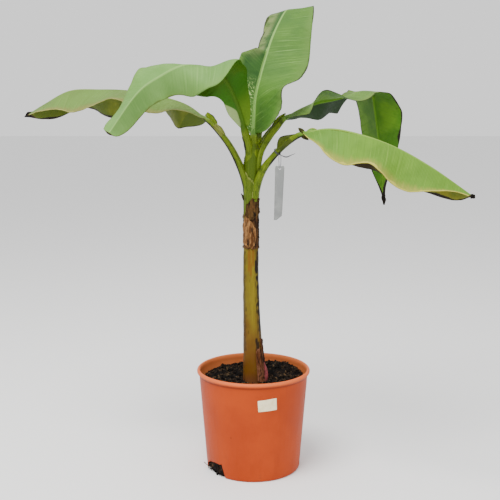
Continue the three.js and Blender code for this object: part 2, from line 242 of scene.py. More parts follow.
def terracotta(s):
    """Moulding clouds and streaks, the painted shadow under the bead and the painted highlight on it, dust
    on the foot, painted light that makes the wall inside paler, most of all lower down, and the mark."""
    x, y, z = s.place()
    cloud = s.noise(9, 4)
    streak = s.fibre(x * 60, y * 60, z * 5)
    dust = s.noise(34, 5).band(0.58, 0.75) * (1 - z.band(0.02, 0.09))
    depth = pot_radius(z) - s.math("SQRT", x * x + y * y)
    # Painted light: the wall inside is painted paler, most of all lower down.
    inner_wall_light = depth.band(0.0012, 0.002) * z.band(0.2, 0.215)
    mark = abs(x - MARK[0]) + abs(z - MARK[1])
    base = s.tone(155, 54, 9).layered(
        (168, 61, 11, cloud.band(0.35, 0.7)),
        (136, 44, 12, streak.band(0.56, 0.8) * 0.4),
        (112, 40, 12, z.band(0.2345, 0.239) * (1 - z.band(0.2405, 0.243)) * 0.75),
        (210, 104, 52, z.band(0.242, 0.248) * 0.75),
        (110, 52, 30, dust * 0.4),
        (192, 112, 64, inner_wall_light * (0.55 + 0.45 * (1 - z.band(0.215, 0.247)))),
        (52, 20, 8, (1 - mark.band(0.001, 0.0022)) * (1 - y.band(0, 0.01))))
    return base, 0.42 + 0.14 * cloud, s.bump(s.noise(900, 2) + 3 * streak, 0.00025)


pot_sides = 360
outline = np.array(pot_outline())
pot_points = polar(outline[:, :1], round_turn(pot_sides), outline[:, 1:]).reshape(-1, 3)
pot = piece("pot_shell", pot_points, limb_faces(len(outline), pot_sides),
            material("terracotta_plastic", terracotta), "pot", ["pot"])

# Round the broken corner: a thick plug in the outline of the gap is cut out of the shell.
edge = []
for (x0, z0), (x1, z1) in zip(BREAK, BREAK[1:]):
    for share in np.linspace(0, 1, 7)[:-1]:
        long_wave, short_wave = math.sin(41 * x0 + 64 * share), math.sin(97 * share + 11 * z1)
        ragged = 0.0011 * long_wave + 0.0007 * short_wave
        edge.append((x0 + (x1 - x0) * share, z0 + (z1 - z0) * share + ragged))
# The plug's outline closes below the pot.
edge += [(BREAK[-1][0], -0.01), (BREAK[0][0], -0.01)]
out = np.array([math.cos(BREAK_HEADING), math.sin(BREAK_HEADING), 0])
side = np.array([-out[1], out[0], 0])
ends = [[out * (FOOT_RADIUS + depth) + side * x + [0, 0, z] for x, z in edge] for depth in BREAK_DEPTH]


def cut_away(body, near, far):
    """Takes the space between two outlines out of a piece."""
    n = len(near)
    walls = [(k, (k + 1) % n, n + (k + 1) % n, n + k) for k in range(n)]
    plug = show_mesh("plug", [*near, *far], [range(n)[::-1], range(n, 2 * n), *walls])
    cut = body.modifiers.new("cut", "BOOLEAN")
    cut.object = plug
    cut.solver = "EXACT"
    with bpy.context.temp_override(object=body, active_object=body):
        bpy.context.view_layer.objects.active = body
        bpy.ops.object.modifier_apply(modifier=cut.name)
    bpy.data.objects.remove(plug)
    body.data.shade_smooth()


cut_away(pot, *ends)


# Label: a blank cream paper sticker, pressed on slightly askew, with one corner lifting
# off the plastic.
LABEL = {"heading": math.radians(-75.5), "height": 0.197, "wide": 0.046, "tall": 0.029,
         "tilt": math.radians(-4)}
# How far its two faces stand off the wall, how much taller its right end is, and where and
# how fast its upper right corner lifts.
LABEL_FACES = [0.00035, 0.00012]
LABEL_FLARE = 0.07
LABEL_CORNER = 0.55
LABEL_LIFT = 0.0054


def paper(s):
    fibre = s.noise(700)
    stain = s.noise(60, 4)
    base = s.tone(240, 228, 188).layered((220, 202, 150, stain.band(0.5, 0.75)))
    return base, 0.7 + 0.1 * fibre, s.bump(fibre + stain, 0.0002)


def sheet(name, skins, finish, slot, nodes=(), **numbers):
    """A piece of two skins, each a grid of points, joined round its edge. Its numbers fit
    one skin or both."""
    _, rows, columns, _ = np.shape(skins)
    size = rows * columns
    front = grid_faces(rows, columns)
    back = [[size + k for k in reversed(face)] for face in front]
    grid = np.arange(size).reshape(rows, columns)
    rim = [*grid[0], *grid[1:, -1], *grid[-1, -2::-1], *grid[-2:0:-1, 0]]
    sides = [(b, a, a + size, b + size) for a, b in zip(rim, rim[1:] + rim[:1])]
    numbers = {key: np.broadcast_to(values, (2, rows, columns)) for key, values in numbers.items()}
    return piece(name, np.reshape(skins, (-1, 3)), front + back + sides, finish, slot, nodes, **numbers)


halves = np.linspace(-0.5, 0.5, 16), np.linspace(-0.5, 0.5, 24)
skin, up, across = np.meshgrid(LABEL_FACES, *halves, indexing="ij")
wide, tall = LABEL["wide"] * across, LABEL["tall"] * up * (1 + LABEL_FLARE * across)
cosine, sine = math.cos(LABEL["tilt"]), math.sin(LABEL["tilt"])
height = LABEL["height"] + tall * cosine - wide * sine
crease = 0.0001 * np.sin(40 * across + 20 * up)
lift = LABEL_LIFT * np.maximum(0, across + up - LABEL_CORNER) ** 2 + crease
reach = pot_radius(height) + skin + np.maximum(lift, 0)
label_skins = polar(reach, LABEL["heading"] + (wide * cosine + tall * sine) / reach, height)
sheet("label", label_skins, material("label_paper", paper), "tag")


# Compost: coarse bark and peat that fills the pot to 32 mm below its rim, with a mound
# behind the stem on the right. Loose lumps and flakes lie on it and in the broken corner.
SOIL_LEVEL = 0.219
MOUND = {"x": 0.07, "y": 0.062, "height": 0.016, "spread": 0.042}
# The rise towards the back, the bed's radius, and the stem's radius at the bed and how far
# it stands to the right of the axis.
SLOPE = 0.009
SOIL_REACH = 0.1305
STEM_FOOT = 0.028
STEM_SHIFT = 0.002


def ripple(points, length, seed, waves=9):
    """A smooth random field from -1 to 1 over points, with bumps about length apart."""
    rng = np.random.default_rng(seed)
    ways = rng.normal(size=(waves, np.shape(points)[-1]))
    ways *= 2 * np.pi / length * rng.uniform(0.6, 1.3, (waves, 1)) / np.linalg.norm(ways, axis=1)[:, None]
    phases = rng.uniform(0, 2 * np.pi, waves)
    return np.sin(points @ ways.T + phases).sum(-1) / math.sqrt(waves) * 0.7


def step(low, high, values):
    """0 below low, 1 above high, and smooth between them."""
    share = np.clip((np.asarray(values, float) - low) / (high - low), 0, 1)
    return share * share * (3 - 2 * share)


def soil_height(x, y):
    """The bed's smooth surface: level round the stem, with the mound, slope and waves beyond."""
    mound = MOUND["height"] * np.exp(-((x - MOUND["x"]) ** 2 + (y - MOUND["y"]) ** 2) / MOUND["spread"] ** 2)
    lumps = 0.0022 * np.sin(x / 0.011 + 1) * np.cos(y / 0.013) + 0.0016 * np.sin(x / 0.023 - y / 0.017)
    clear = step(STEM_FOOT + 0.003, STEM_FOOT + 0.028, np.hypot(x, y))
    return SOIL_LEVEL + clear * (mound + lumps + SLOPE * step(0.0, 0.11, y))


def compost(s):
    """Dark peat with bark in it, wet in places, and a few bleached chips."""
    tint = s.own("tint")
    grain = s.noise(260, 5, 0.6)
    patch = s.noise(70)
    base = s.tone(12, 8, 6).layered(
        (50, 34, 22, grain.band(0.5, 0.7)),
        (88, 72, 50, tint.band(0.55, 0.95) * grain.band(0.42, 0.6)),
        (92, 70, 46, patch.band(0.54, 0.64) * grain.band(0.45, 0.6) * 0.8),
        (5, 3, 2, patch.band(0.5, 0.4)),
        (170, 152, 112, tint.band(1.4, 1.6) * 0.8))
    return base, 0.75 + 0.2 * grain, s.bump(grain + patch, 0.0012)


soil_finish = material("compost", compost)
rings, spokes = 70, 240
turn = round_turn(spokes)
top = polar(SOIL_REACH * np.linspace(0, 1, rings + 1)[1:, None], turn, 0.0)
flat = top[..., :2].copy()
top[..., 2] = soil_height(top[..., 0], top[..., 1])
# Clods, crumbs and grains: how high they stand and how far apart they are.
for seed, (height, length) in enumerate([(0.0026, 0.016), (0.002, 0.008), (0.0006, 0.004)], 1):
    top[..., 2] += height * ripple(flat, length, seed)
# The side lies just inside the pot's wall, with dents that show where the corner is broken.
bottom, gap = FLOOR + 0.0005, 0.0009
heights = np.linspace(0.19, bottom, 60)[:, None]
reach = np.minimum(pot_radius(heights) - WALL - gap, SOIL_REACH)
wall = polar(reach, turn, heights)
wall[..., :2] *= (1 + 0.0012 * (ripple(wall, 0.011, 4) - 1) / reach)[..., None]
ends = [[0, 0, SOIL_LEVEL], [0, 0, bottom]]
soil_points = np.concatenate([top.reshape(-1, 3), wall.reshape(-1, 3), ends])
soil_rings = rings + len(wall)
centre, last = soil_rings * spokes, (soil_rings - 1) * spokes
soil_faces = [face[::-1] for face in grid_faces(soil_rings, spokes, closed=True)]
soil_faces += [(centre, k, (k + 1) % spokes) for k in range(spokes)]
soil_faces += [(centre + 1, last + (k + 1) % spokes, last + k) for k in range(spokes)]
piece("compost_bed", soil_points, soil_faces, soil_finish, "compost", ["soil"],
      tint=0.3 + 0.3 * ripple(soil_points, 0.02, 5))

# An icosahedron's corners and faces, the start of each lump.
golden = (1 + math.sqrt(5)) / 2
lump_points = np.array([(a, b * golden, 0) for a in (-1, 1) for b in (-1, 1)])
lump_points = np.concatenate([lump_points, np.roll(lump_points, 1, 1), np.roll(lump_points, 2, 1)])
lump_points /= np.linalg.norm(lump_points[0])
lump_faces = []
for face in itertools.combinations(range(12), 3):
    a, b, c = lump_points[list(face)]
    if max(np.linalg.norm(side) for side in (b - a, c - b, a - c)) < 1.2:
        lump_faces.append(face if np.dot(np.cross(b - a, c - a), a) > 0 else face[::-1])
lump_faces = np.array(lump_faces)


def lumps(name, places, sizes, tints, seed, flat=0.0):
    """Irregular lumps as one piece. The flatter ones are long flakes."""
    rng = np.random.default_rng(seed)
    points = []
    for place, size in zip(places, sizes):
        turned = np.linalg.qr(rng.normal(size=(3, 3)))[0]
        shape = lump_points * rng.uniform(0.7, 1.15, (12, 1))
        shape = shape * [1, rng.uniform(0.5, 0.9) - 0.3 * flat, rng.uniform(0.25, 0.7) * (1 - 0.6 * flat)]
        points.append(place + size * shape @ turned)
    faces = [lump_faces + 12 * k for k in range(len(places))]
    piece(name, np.concatenate(points), np.concatenate(faces), soil_finish, "compost",
          tint=np.repeat(tints, 12))


def scattered(rng, count, spread, clear):
    """Random spots on the compost, none of them nearer to the stem than clear."""
    reach = spread * np.sqrt(rng.uniform(0, 1, count))
    spots = polar(reach, rng.uniform(0, 2 * np.pi, count), 0.0)
    spots = spots[np.hypot(spots[:, 0] - STEM_SHIFT, spots[:, 1]) > clear]
    spots[:, 2] = soil_height(spots[:, 0], spots[:, 1])
    return spots


# Many small lumps, fewer large ones, and here and there a bleached chip.
rng = np.random.default_rng(11)
spots = scattered(rng, 1700, 0.124, STEM_FOOT + 0.004)
sizes = 0.0016 + 0.008 * rng.beta(0.8, 4, len(spots))
pale = (rng.uniform(size=len(sizes)) < 0.006) & (sizes < 0.0025)
tints = np.where(pale, 1.7, rng.uniform(0, 1, len(sizes)))
lumps("compost_lumps", spots + 0.3 * sizes[:, None] * [0, 0, 1], sizes, tints, 12)

# Flakes of bark that lie on the compost, pale on some sides.
rng = np.random.default_rng(15)
spots = scattered(rng, 150, 0.116, STEM_FOOT + 0.012)
sizes = rng.uniform(0.005, 0.011, len(spots))
lumps("compost_flakes", spots + [0, 0, 0.0015], sizes, rng.uniform(0, 1.1, len(sizes)), 16, 1.0)


# Crumbs that spill from the broken corner, and a fine root that has grown out of it.
def inside_outline(x, y, outline):
    """Which points lie inside a closed outline."""
    held = np.zeros(np.shape(x), bool)
    for (x0, y0), (x1, y1) in zip(outline, outline[1:] + outline[:1]):
        if y0 != y1:
            crosses = (y0 > y) != (y1 > y)
            held ^= crosses & (x < x0 + (y - y0) * (x1 - x0) / (y1 - y0))
    return held


# The crumbs are drawn all round the gap, and those inside its outline are kept.
rng = np.random.default_rng(21)
count = 130
along = rng.uniform(-0.036, 0.03, count)
height = rng.uniform(0.002, 0.026, count)
reach = FOOT_RADIUS - 0.006 + rng.uniform(-0.004, 0.0035, count)
places = reach[:, None] * out + along[:, None] * side + height[:, None] * [0, 0, 1]
inside = inside_outline(along, height, BREAK)
sizes = 0.0012 + 0.0026 * rng.beta(1.3, 3, count)
lumps("corner_crumbs", places[inside], sizes[inside], rng.uniform(0, 0.6, inside.sum()), 22)


def through(values, t):
    """A smooth curve through evenly spaced numbers or points, for an array of t from 0 to 1."""
    values = np.asarray(values, float)
    spans = len(values) - 1
    place = np.clip(np.asarray(t, float), 0, 1) * spans
    i = np.minimum(place.astype(int), spans - 1)
    f = place - i
    if values.ndim > 1:
        f = f[..., None]
    held = np.concatenate([2 * values[:1] - values[1:2], values, 2 * values[-1:] - values[-2:-1]])
    a, b, c, d = (held[i + k] for k in range(4))
    return 0.5 * (2 * b + (c - a) * f + (2 * a - 5 * b + 4 * c - d) * f**2 + (3 * b - a - 3 * c + d) * f**3)


def unit(vectors):
    return vectors / np.linalg.norm(vectors, axis=-1, keepdims=True)


def direction(line, t):
    return unit(through(line, np.minimum(t + 1e-3, 1)) - through(line, np.maximum(t - 1e-3, 0)))


def tube(line, radii, rows, sides, profile=None):
    """Points and faces of a closed limb along a line, with its radius shaped by profile(t, angle)."""
    t = np.linspace(0, 1, rows)
    middle = through(line, t)
    along = direction(line, t)
    across = unit(np.cross(along, [0.31, 0.95, 0.05]))
    up = np.cross(along, across)
    angle = round_turn(sides)
    reach = through(radii, t)[:, None] * np.ones(sides)
    if profile:
        reach = reach * profile(t[:, None], angle[None, :])
    around = across[:, None] * np.cos(angle)[:, None] + up[:, None] * np.sin(angle)[:, None]
    points = (middle[:, None] + reach[..., None] * around).reshape(-1, 3)
    return points, limb_faces(rows, sides)


def root_bark(s):
    return s.tone(70, 52, 36), 0.7 + 0.2 * s.noise(300)


def limb(name, line, radii, rows, sides, finish, slot, profile=None, **numbers):
    """A piece in the form of a tube, its line and radii in millimetres."""
    points, faces = tube(np.array(line) / 1000, np.array(radii) / 1000, rows, sides, profile)
    piece(name, points, faces, finish, slot, **numbers)


root_line = [(-100, -45, 10), (-110, -43, 11.5), (-117, -38, 14.5), (-122, -34, 18)]
limb("escaped_root", root_line, [1.2, 0.9, 0.8, 1.2], 24, 8, material("root_skin", root_bark), "compost")


# Stem: the leaf bases wrapped round each other into one soft, fleshy column. The outer
# wraps end in long slanting edges, olive and brown with age below and green at the fork.
# Its line and radii are given in millimetres at even steps of height.
STEM_LINE = np.array([(2, 0, 212), (-1, 0, 296), (-4, 0, 380), (-6, 0, 464), (-6, 0, 548),
                      (-6, 0, 632), (-5, 0, 716), (-3, 0, 800)]) / 1000
STEM_RADII = np.array([28, 24, 20.8, 19, 18.3, 18, 18.8, 16.5]) / 1000
# The wraps stand out from a core that is slimmer by this much.
STEM_INSET = 0.0006
# Each wrap's edge: its bearing at the soil, its turn up the stem and how far it stands out.
WRAPS = [(-62, 20, 0.0012), (35, -25, 0.001), (140, 30, 0.0012), (215, -15, 0.0009)]


def bell(values):
    """1 at 0, and towards 0 on both sides."""
    return np.exp(-np.square(values))


def wrap_edges(height, bearing):
    """How far the wraps stand out, and how near each point is to one of their edges, which
    wander a little. A wrap stands out from its edge on and sinks back round the stem."""
    stands = np.zeros(np.broadcast(height, bearing).shape)
    near = np.zeros(stands.shape)
    for start, twist, out_by in WRAPS:
        edge = math.radians(start) + math.radians(twist) * height / 0.5 + 0.08 * np.sin(height * 31 + start)
        past = np.mod(bearing - edge, 2 * np.pi)
        stands += out_by * np.exp(-past / 0.9) * step(0.0, 0.07, past)
        apart = np.minimum(past, 2 * np.pi - past)
        near = np.maximum(near, bell(apart / 0.06))
    return stands, near


def stem_skin(s):
    """Olive wraps with brown fibres, rusty and dark at the foot, green at the fork."""
    height = s.place()[2]
    edge, green, shade, rust = s.own("edge"), s.own("green"), s.own("shade"), s.own("rust")
    cloud = s.noise(22, 4)
    fibre = s.fibre(s.own("around") * 40, height * 14, 0.0, 4)
    speck = s.fibre(s.own("around") * 14, height * 90, 3.0, 2)
    base = s.tone(104, 92, 16).layered(
        (84, 66, 10, cloud.band(0.4, 0.68)),
        (76, 54, 10, fibre.band(0.5, 0.7) * 0.6),
        (96, 56, 14, (1 - height.band(0.28, 0.46)) * 0.75),
        # Painted highlight down the lit front of the stem.
        (124, 108, 16, s.own("sunny") * fibre.band(0.66, 0.45) * 0.85),
        (92, 54, 34, (1 - height.band(0.222, 0.25)) * 0.7),
        (64, 84, 10, green),
        (96, 112, 26, green * fibre.band(0.5, 0.7) * 0.5),
        (108, 66, 4, rust * 0.75),
        # Dark blemishes and painted shade down the stem's edges.
        (20, 10, 5, shade),
        (30, 18, 8, edge * 0.75),
        (26, 14, 6, speck.band(0.68, 0.74) * (1 - green) * 0.8))
    return base, 0.38 + 0.2 * cloud, s.bump(fibre + 0.4 * cloud, 0.0006)


stem_rows, stem_sides = 260, 96
t = np.linspace(0, 1, stem_rows)
middle = through(STEM_LINE, t)
middle[0, 2] = SOIL_LEVEL - 0.004
height = middle[:, 2:] * np.ones(stem_sides)
bearing = round_turn(stem_sides) + 0 * height
stands, edge = wrap_edges(height, bearing)
reach = through(STEM_RADII, t)[:, None] - STEM_INSET + stands
# The top narrows into the fork.
reach = reach * (1 - 0.25 * step(0.755, 0.8, height))
stem_points = polar(reach, bearing, height) + middle[:, None] * [1, 1, 0]
stem_points += 0.0004 * ripple(stem_points, 0.03, 31)[..., None] * [1, 1, 0]


def around_from(bearing, heading):
    """The angle from a heading, in radians either way."""
    return np.angle(np.exp(1j * (bearing - math.radians(heading))))


# Dark blemishes on the skin, and painted shade down the stem's right and left edges: heading, half width in
# degrees, lowest and highest point, depth.
BLEMISHES_AND_SHADE = [(-14, 32, 0.35, 0.545, 1.0), (-46, 14, 0.493, 0.523, 1.0), (-64, 8, 0.302, 0.33, 0.9),
             (-54, 8, 0.296, 0.32, 0.85), (-34, 7, 0.322, 0.366, 0.75), (-27, 5, 0.336, 0.352, 0.8),
             (-64, 5, 0.262, 0.312, 0.9), (-50, 4, 0.395, 0.415, 0.9), (-60, 3, 0.423, 0.432, 0.8),
             (-56, 3, 0.46, 0.47, 0.9), (205, 24, 0.3, 0.545, 0.45), (-128, 3, 0.4, 0.407, 0.8),
             (-115, 3, 0.345, 0.349, 0.6), (-100, 2, 0.473, 0.477, 0.7)]
# Rusty streaks, in the same form without a depth.
STREAKS = [(-103, 15, 0.498, 0.545), (-74, 13, 0.51, 0.548), (-90, 9, 0.486, 0.515)]
# Both kinds fade out at their sides and ends, and the blemishes and the painted shade are ragged.
dark = np.zeros(height.shape)
for heading, half, low, high, depth in BLEMISHES_AND_SHADE:
    off = np.abs(around_from(bearing, heading)) / math.radians(half) + 0.25 * ripple(stem_points, 0.012, 34)
    dark = np.maximum(dark, depth * (1 - step(0.6, 1.1, off)) * step(low - 0.004, low, height)
                      * (1 - step(high, high + 0.004, height)))
rust = np.zeros(height.shape)
for heading, half, low, high in STREAKS:
    off = np.abs(around_from(bearing, heading)) / math.radians(half)
    rust = np.maximum(rust, (1 - step(0.5, 1.2, off)) * step(low - 0.006, low + 0.004, height)
                      * (1 - step(high, high + 0.01, height)))
# A painted highlight down the stem's lit front, above its foot.
sunny = bell(around_from(bearing, -78) / 0.42) * step(0.33, 0.38, height)
green = step(0.6, 0.68, height + 0.012 * ripple(stem_points, 0.05, 32))
piece("stem_wraps", stem_points.reshape(-1, 3), limb_faces(stem_rows, stem_sides),
      material("stem_skin", stem_skin), "stem", ["stem"], green=green, shade=dark, rust=rust, sunny=sunny,
      edge=edge * (0.5 + 0.5 * ripple(stem_points, 0.03, 33)), around=bearing)


# Withered sheath: the dry papery base of a shed leaf that still wraps the upper stem, with
# two cracked plates in front, and the rotted remains of older ones at the stem's foot.
LEAST_PROUD = 0.0006
DRY_THICKNESS = 0.0007
# How much of a sheet's height and width its curled rim takes up at each end.
RIM_SHARES = (0.1, 0.06)


def on_stem(height, bearing, proud):
    """Points that stand proud of the stem's skin by so much, at a height and a bearing."""
    t = (height - STEM_LINE[0, 2]) / (STEM_LINE[-1, 2] - STEM_LINE[0, 2])
    return polar(through(STEM_RADII, t) + proud, bearing, height) + through(STEM_LINE, t) * [1, 1, 0]


def papery(s, tan, brown, dark, cracks=0.95):
    """Dry tissue from tan to brown, with dark cracks, pale rims and grey or shaded sides."""
    around, height = s.own("around"), s.place()[2]
    fibre = s.fibre(around * 11, height * 20, 0.0, 5, 0.65)
    crack = s.fibre(around * 3.4, height * 34, 7.0, 4, 0.6)
    patch = s.fibre(around * 1.6, height * 30, 4.0)
    rim = s.own("rim")
    base = s.tone(*tan).layered(
        (*brown, patch.band(0.42, 0.6)),
        (*brown, fibre.band(0.45, 0.62) * 0.7),
        (*dark, crack.band(0.52, 0.62) * cracks),
        (*tan, rim * 0.35),
        (96, 88, 78, s.own("grey") * 0.7),
        (*dark, s.own("shade")))
    return base, 0.75 + 0.15 * fibre, s.bump(fibre * 1.4 + crack * 2 + patch, 0.0012)


def stem_sheet(name, finish, bearings, low, high, proud, seed, lift=0.002, nodes=()):
    """A dry sheet that hugs the stem between two headings. low and high are evenly spaced
    heights of its ragged edges, and proud how far it stands out below and above."""
    rows, columns = 70, 110
    across = np.linspace(0, 1, columns)
    up = np.linspace(0, 1, rows)[:, None]
    ragged = points_of(across * abs(bearings[1] - bearings[0]) / 60, 0)
    # Long tears and short ones in the lower and the upper edge.
    foot = through(low, across) + 0.0022 * ripple(ragged, 0.3, seed)
    foot = foot + 0.0014 * ripple(ragged, 0.07, seed + 1)
    head = through(high, across) + 0.0028 * ripple(ragged, 0.3, seed + 2)
    head = head + 0.0018 * ripple(ragged, 0.07, seed + 3)
    height = foot + (head - foot) * up
    bearing = np.radians(bearings[0] + (bearings[1] - bearings[0]) * across) + 0 * up
    ends = [np.minimum(way, 1 - way) / share for way, share in zip((up, across), RIM_SHARES)]
    rim = 1 - step(0, 1, np.minimum(*ends))
    field = points_of(bearing * 1.2, height * 14)
    folds = 0.0009 * ripple(field, 0.35, seed + 4) + 0.0005 * ripple(field, 0.12, seed + 5)
    out_by = np.maximum(proud[0] + (proud[1] - proud[0]) * up + folds + lift * rim**2, LEAST_PROUD)
    skins = [on_stem(height, bearing, proud) for proud in (out_by, out_by - DRY_THICKNESS)]
    sheet(name, skins, finish, "dry_sheath", nodes, around=bearing, rim=rim,
          grey=bell(around_from(bearing, 188) / 0.35), shade=0.95 * bell(around_from(bearing, -8) / 0.45))


dry_finish = material("dry_sheath", papery, (96, 64, 34), (46, 26, 10), (9, 5, 3))
plate_finish = material("dry_plate", papery, (150, 108, 66), (80, 48, 20), (12, 7, 3), 0.75)
upper_finish = material("dry_upper_plate", papery, (86, 61, 28), (52, 36, 14), (12, 8, 3))
# The wrap's upper edge slants down to the left.
wrap_top = [0.652 + 0.021 * math.cos(math.radians(h)) for h in np.linspace(-268, 92, 25)]
stem_sheet("sheath_wrap", dry_finish, (-268, 92), [0.553, 0.553], wrap_top, (0.0008, 0.0004), 41,
           nodes=["withered_sheath"])
stem_sheet("sheath_upper_plate", upper_finish, (-128, -22), [0.634, 0.628, 0.626, 0.632, 0.64],
           [0.655, 0.668, 0.675, 0.674, 0.672], (0.0026, 0.0012), 51, 0.0018)
stem_sheet("sheath_lower_plate", plate_finish, (-152, -58), [0.566, 0.56, 0.557, 0.556, 0.566],
           [0.612, 0.629, 0.626, 0.614, 0.604], (0.0014, 0.0028), 61, 0.0016)
stem_sheet("sheath_side_plate", dry_finish, (-56, 18), [0.566, 0.574, 0.582], [0.618, 0.624, 0.612],
           (0.0012, 0.0008), 71, 0.0008)

rotted = material("rotted_sheath", papery, (128, 84, 60), (84, 46, 24), (24, 12, 8))
stem_sheet("foot_sheath_front", rotted, (-74, -30), [0.223, 0.222, 0.222], [0.3, 0.306, 0.296],
           (0.003, 0.0012), 81, 0.0008)
stem_sheet("foot_sheath_side", rotted, (-40, 48), [0.222, 0.222, 0.222], [0.33, 0.322, 0.3],
           (0.0048, 0.001), 91, 0.001)


# The green bases of the two lowest stalks clasp the stem in front, with pale edges.
def clasping(s):
    around, height = s.own("around"), s.place()[2]
    fibre = s.fibre(around * 20, height * 16, 0.0, 4)
    cloud = s.noise(40, 4)
    base = s.tone(66, 84, 10).layered(
        (90, 104, 22, fibre.band(0.42, 0.66)),
        (48, 60, 10, cloud.band(0.5, 0.72) * 0.7),
        (122, 132, 60, s.own("rim").band(0.15, 0.8) * 0.8),
        (12, 12, 4, s.own("shade").band(0.3, 0.8)))
    return base, 0.4 + 0.2 * cloud, s.bump(fibre, 0.0006)


green_sheath = material("green_sheath", clasping)
stem_sheet("clasp_far_left", green_sheath, (-215, -62), [0.64, 0.64], [0.775, 0.752, 0.738, 0.724, 0.706],
           (-0.0012, 0.0022), 101, 0.0003)
stem_sheet("clasp_near_right", green_sheath, (-84, 40), [0.64, 0.64], [0.69, 0.722, 0.742, 0.765, 0.785],
           (-0.001, 0.0026), 111, 0.0003)


# A swollen pink scale at the foot, and the dark stub of a shed leaf below the fork.
def fleshy(s):
    cloud = s.noise(90, 4)
    base = s.tone(128, 60, 62).layered((84, 40, 44, cloud.band(0.4, 0.65)))
    return base, 0.45 + 0.2 * cloud, s.bump(cloud, 0.0008)


scale_line = [(28.5, -13, 221), (31, -12, 234), (30, -11, 250), (26.2, -10, 268)]
limb("foot_scale", scale_line, [5.2, 5.8, 4.2, 1], 30, 20, material("fleshy_scale", fleshy), "dry_sheath")
stub_line = [(-19, -4, 666), (-23.5, -4, 674), (-26.5, -3, 680), (-30, -2, 685.5)]
limb("leaf_stub", stub_line, [4.4, 3.6, 2.4, 0.8], 24, 12, dry_finish, "dry_sheath",
     around=lambda points: points[:, 1] * 200, rim=0, grey=0, shade=0.8)


# Leaves: five broad thin blades, each carried by a fleshy stalk that runs on under the
# blade as its rib. The fine veins run out from the rib to the margins, and the blades
# sag, curl and tear along them. Each stalk is channelled above and clasps the stem.
TIP_HALF_WIDTH = 0.003
# Halves narrower than this droop and curl less.
FOLD_WIDTH = 0.03
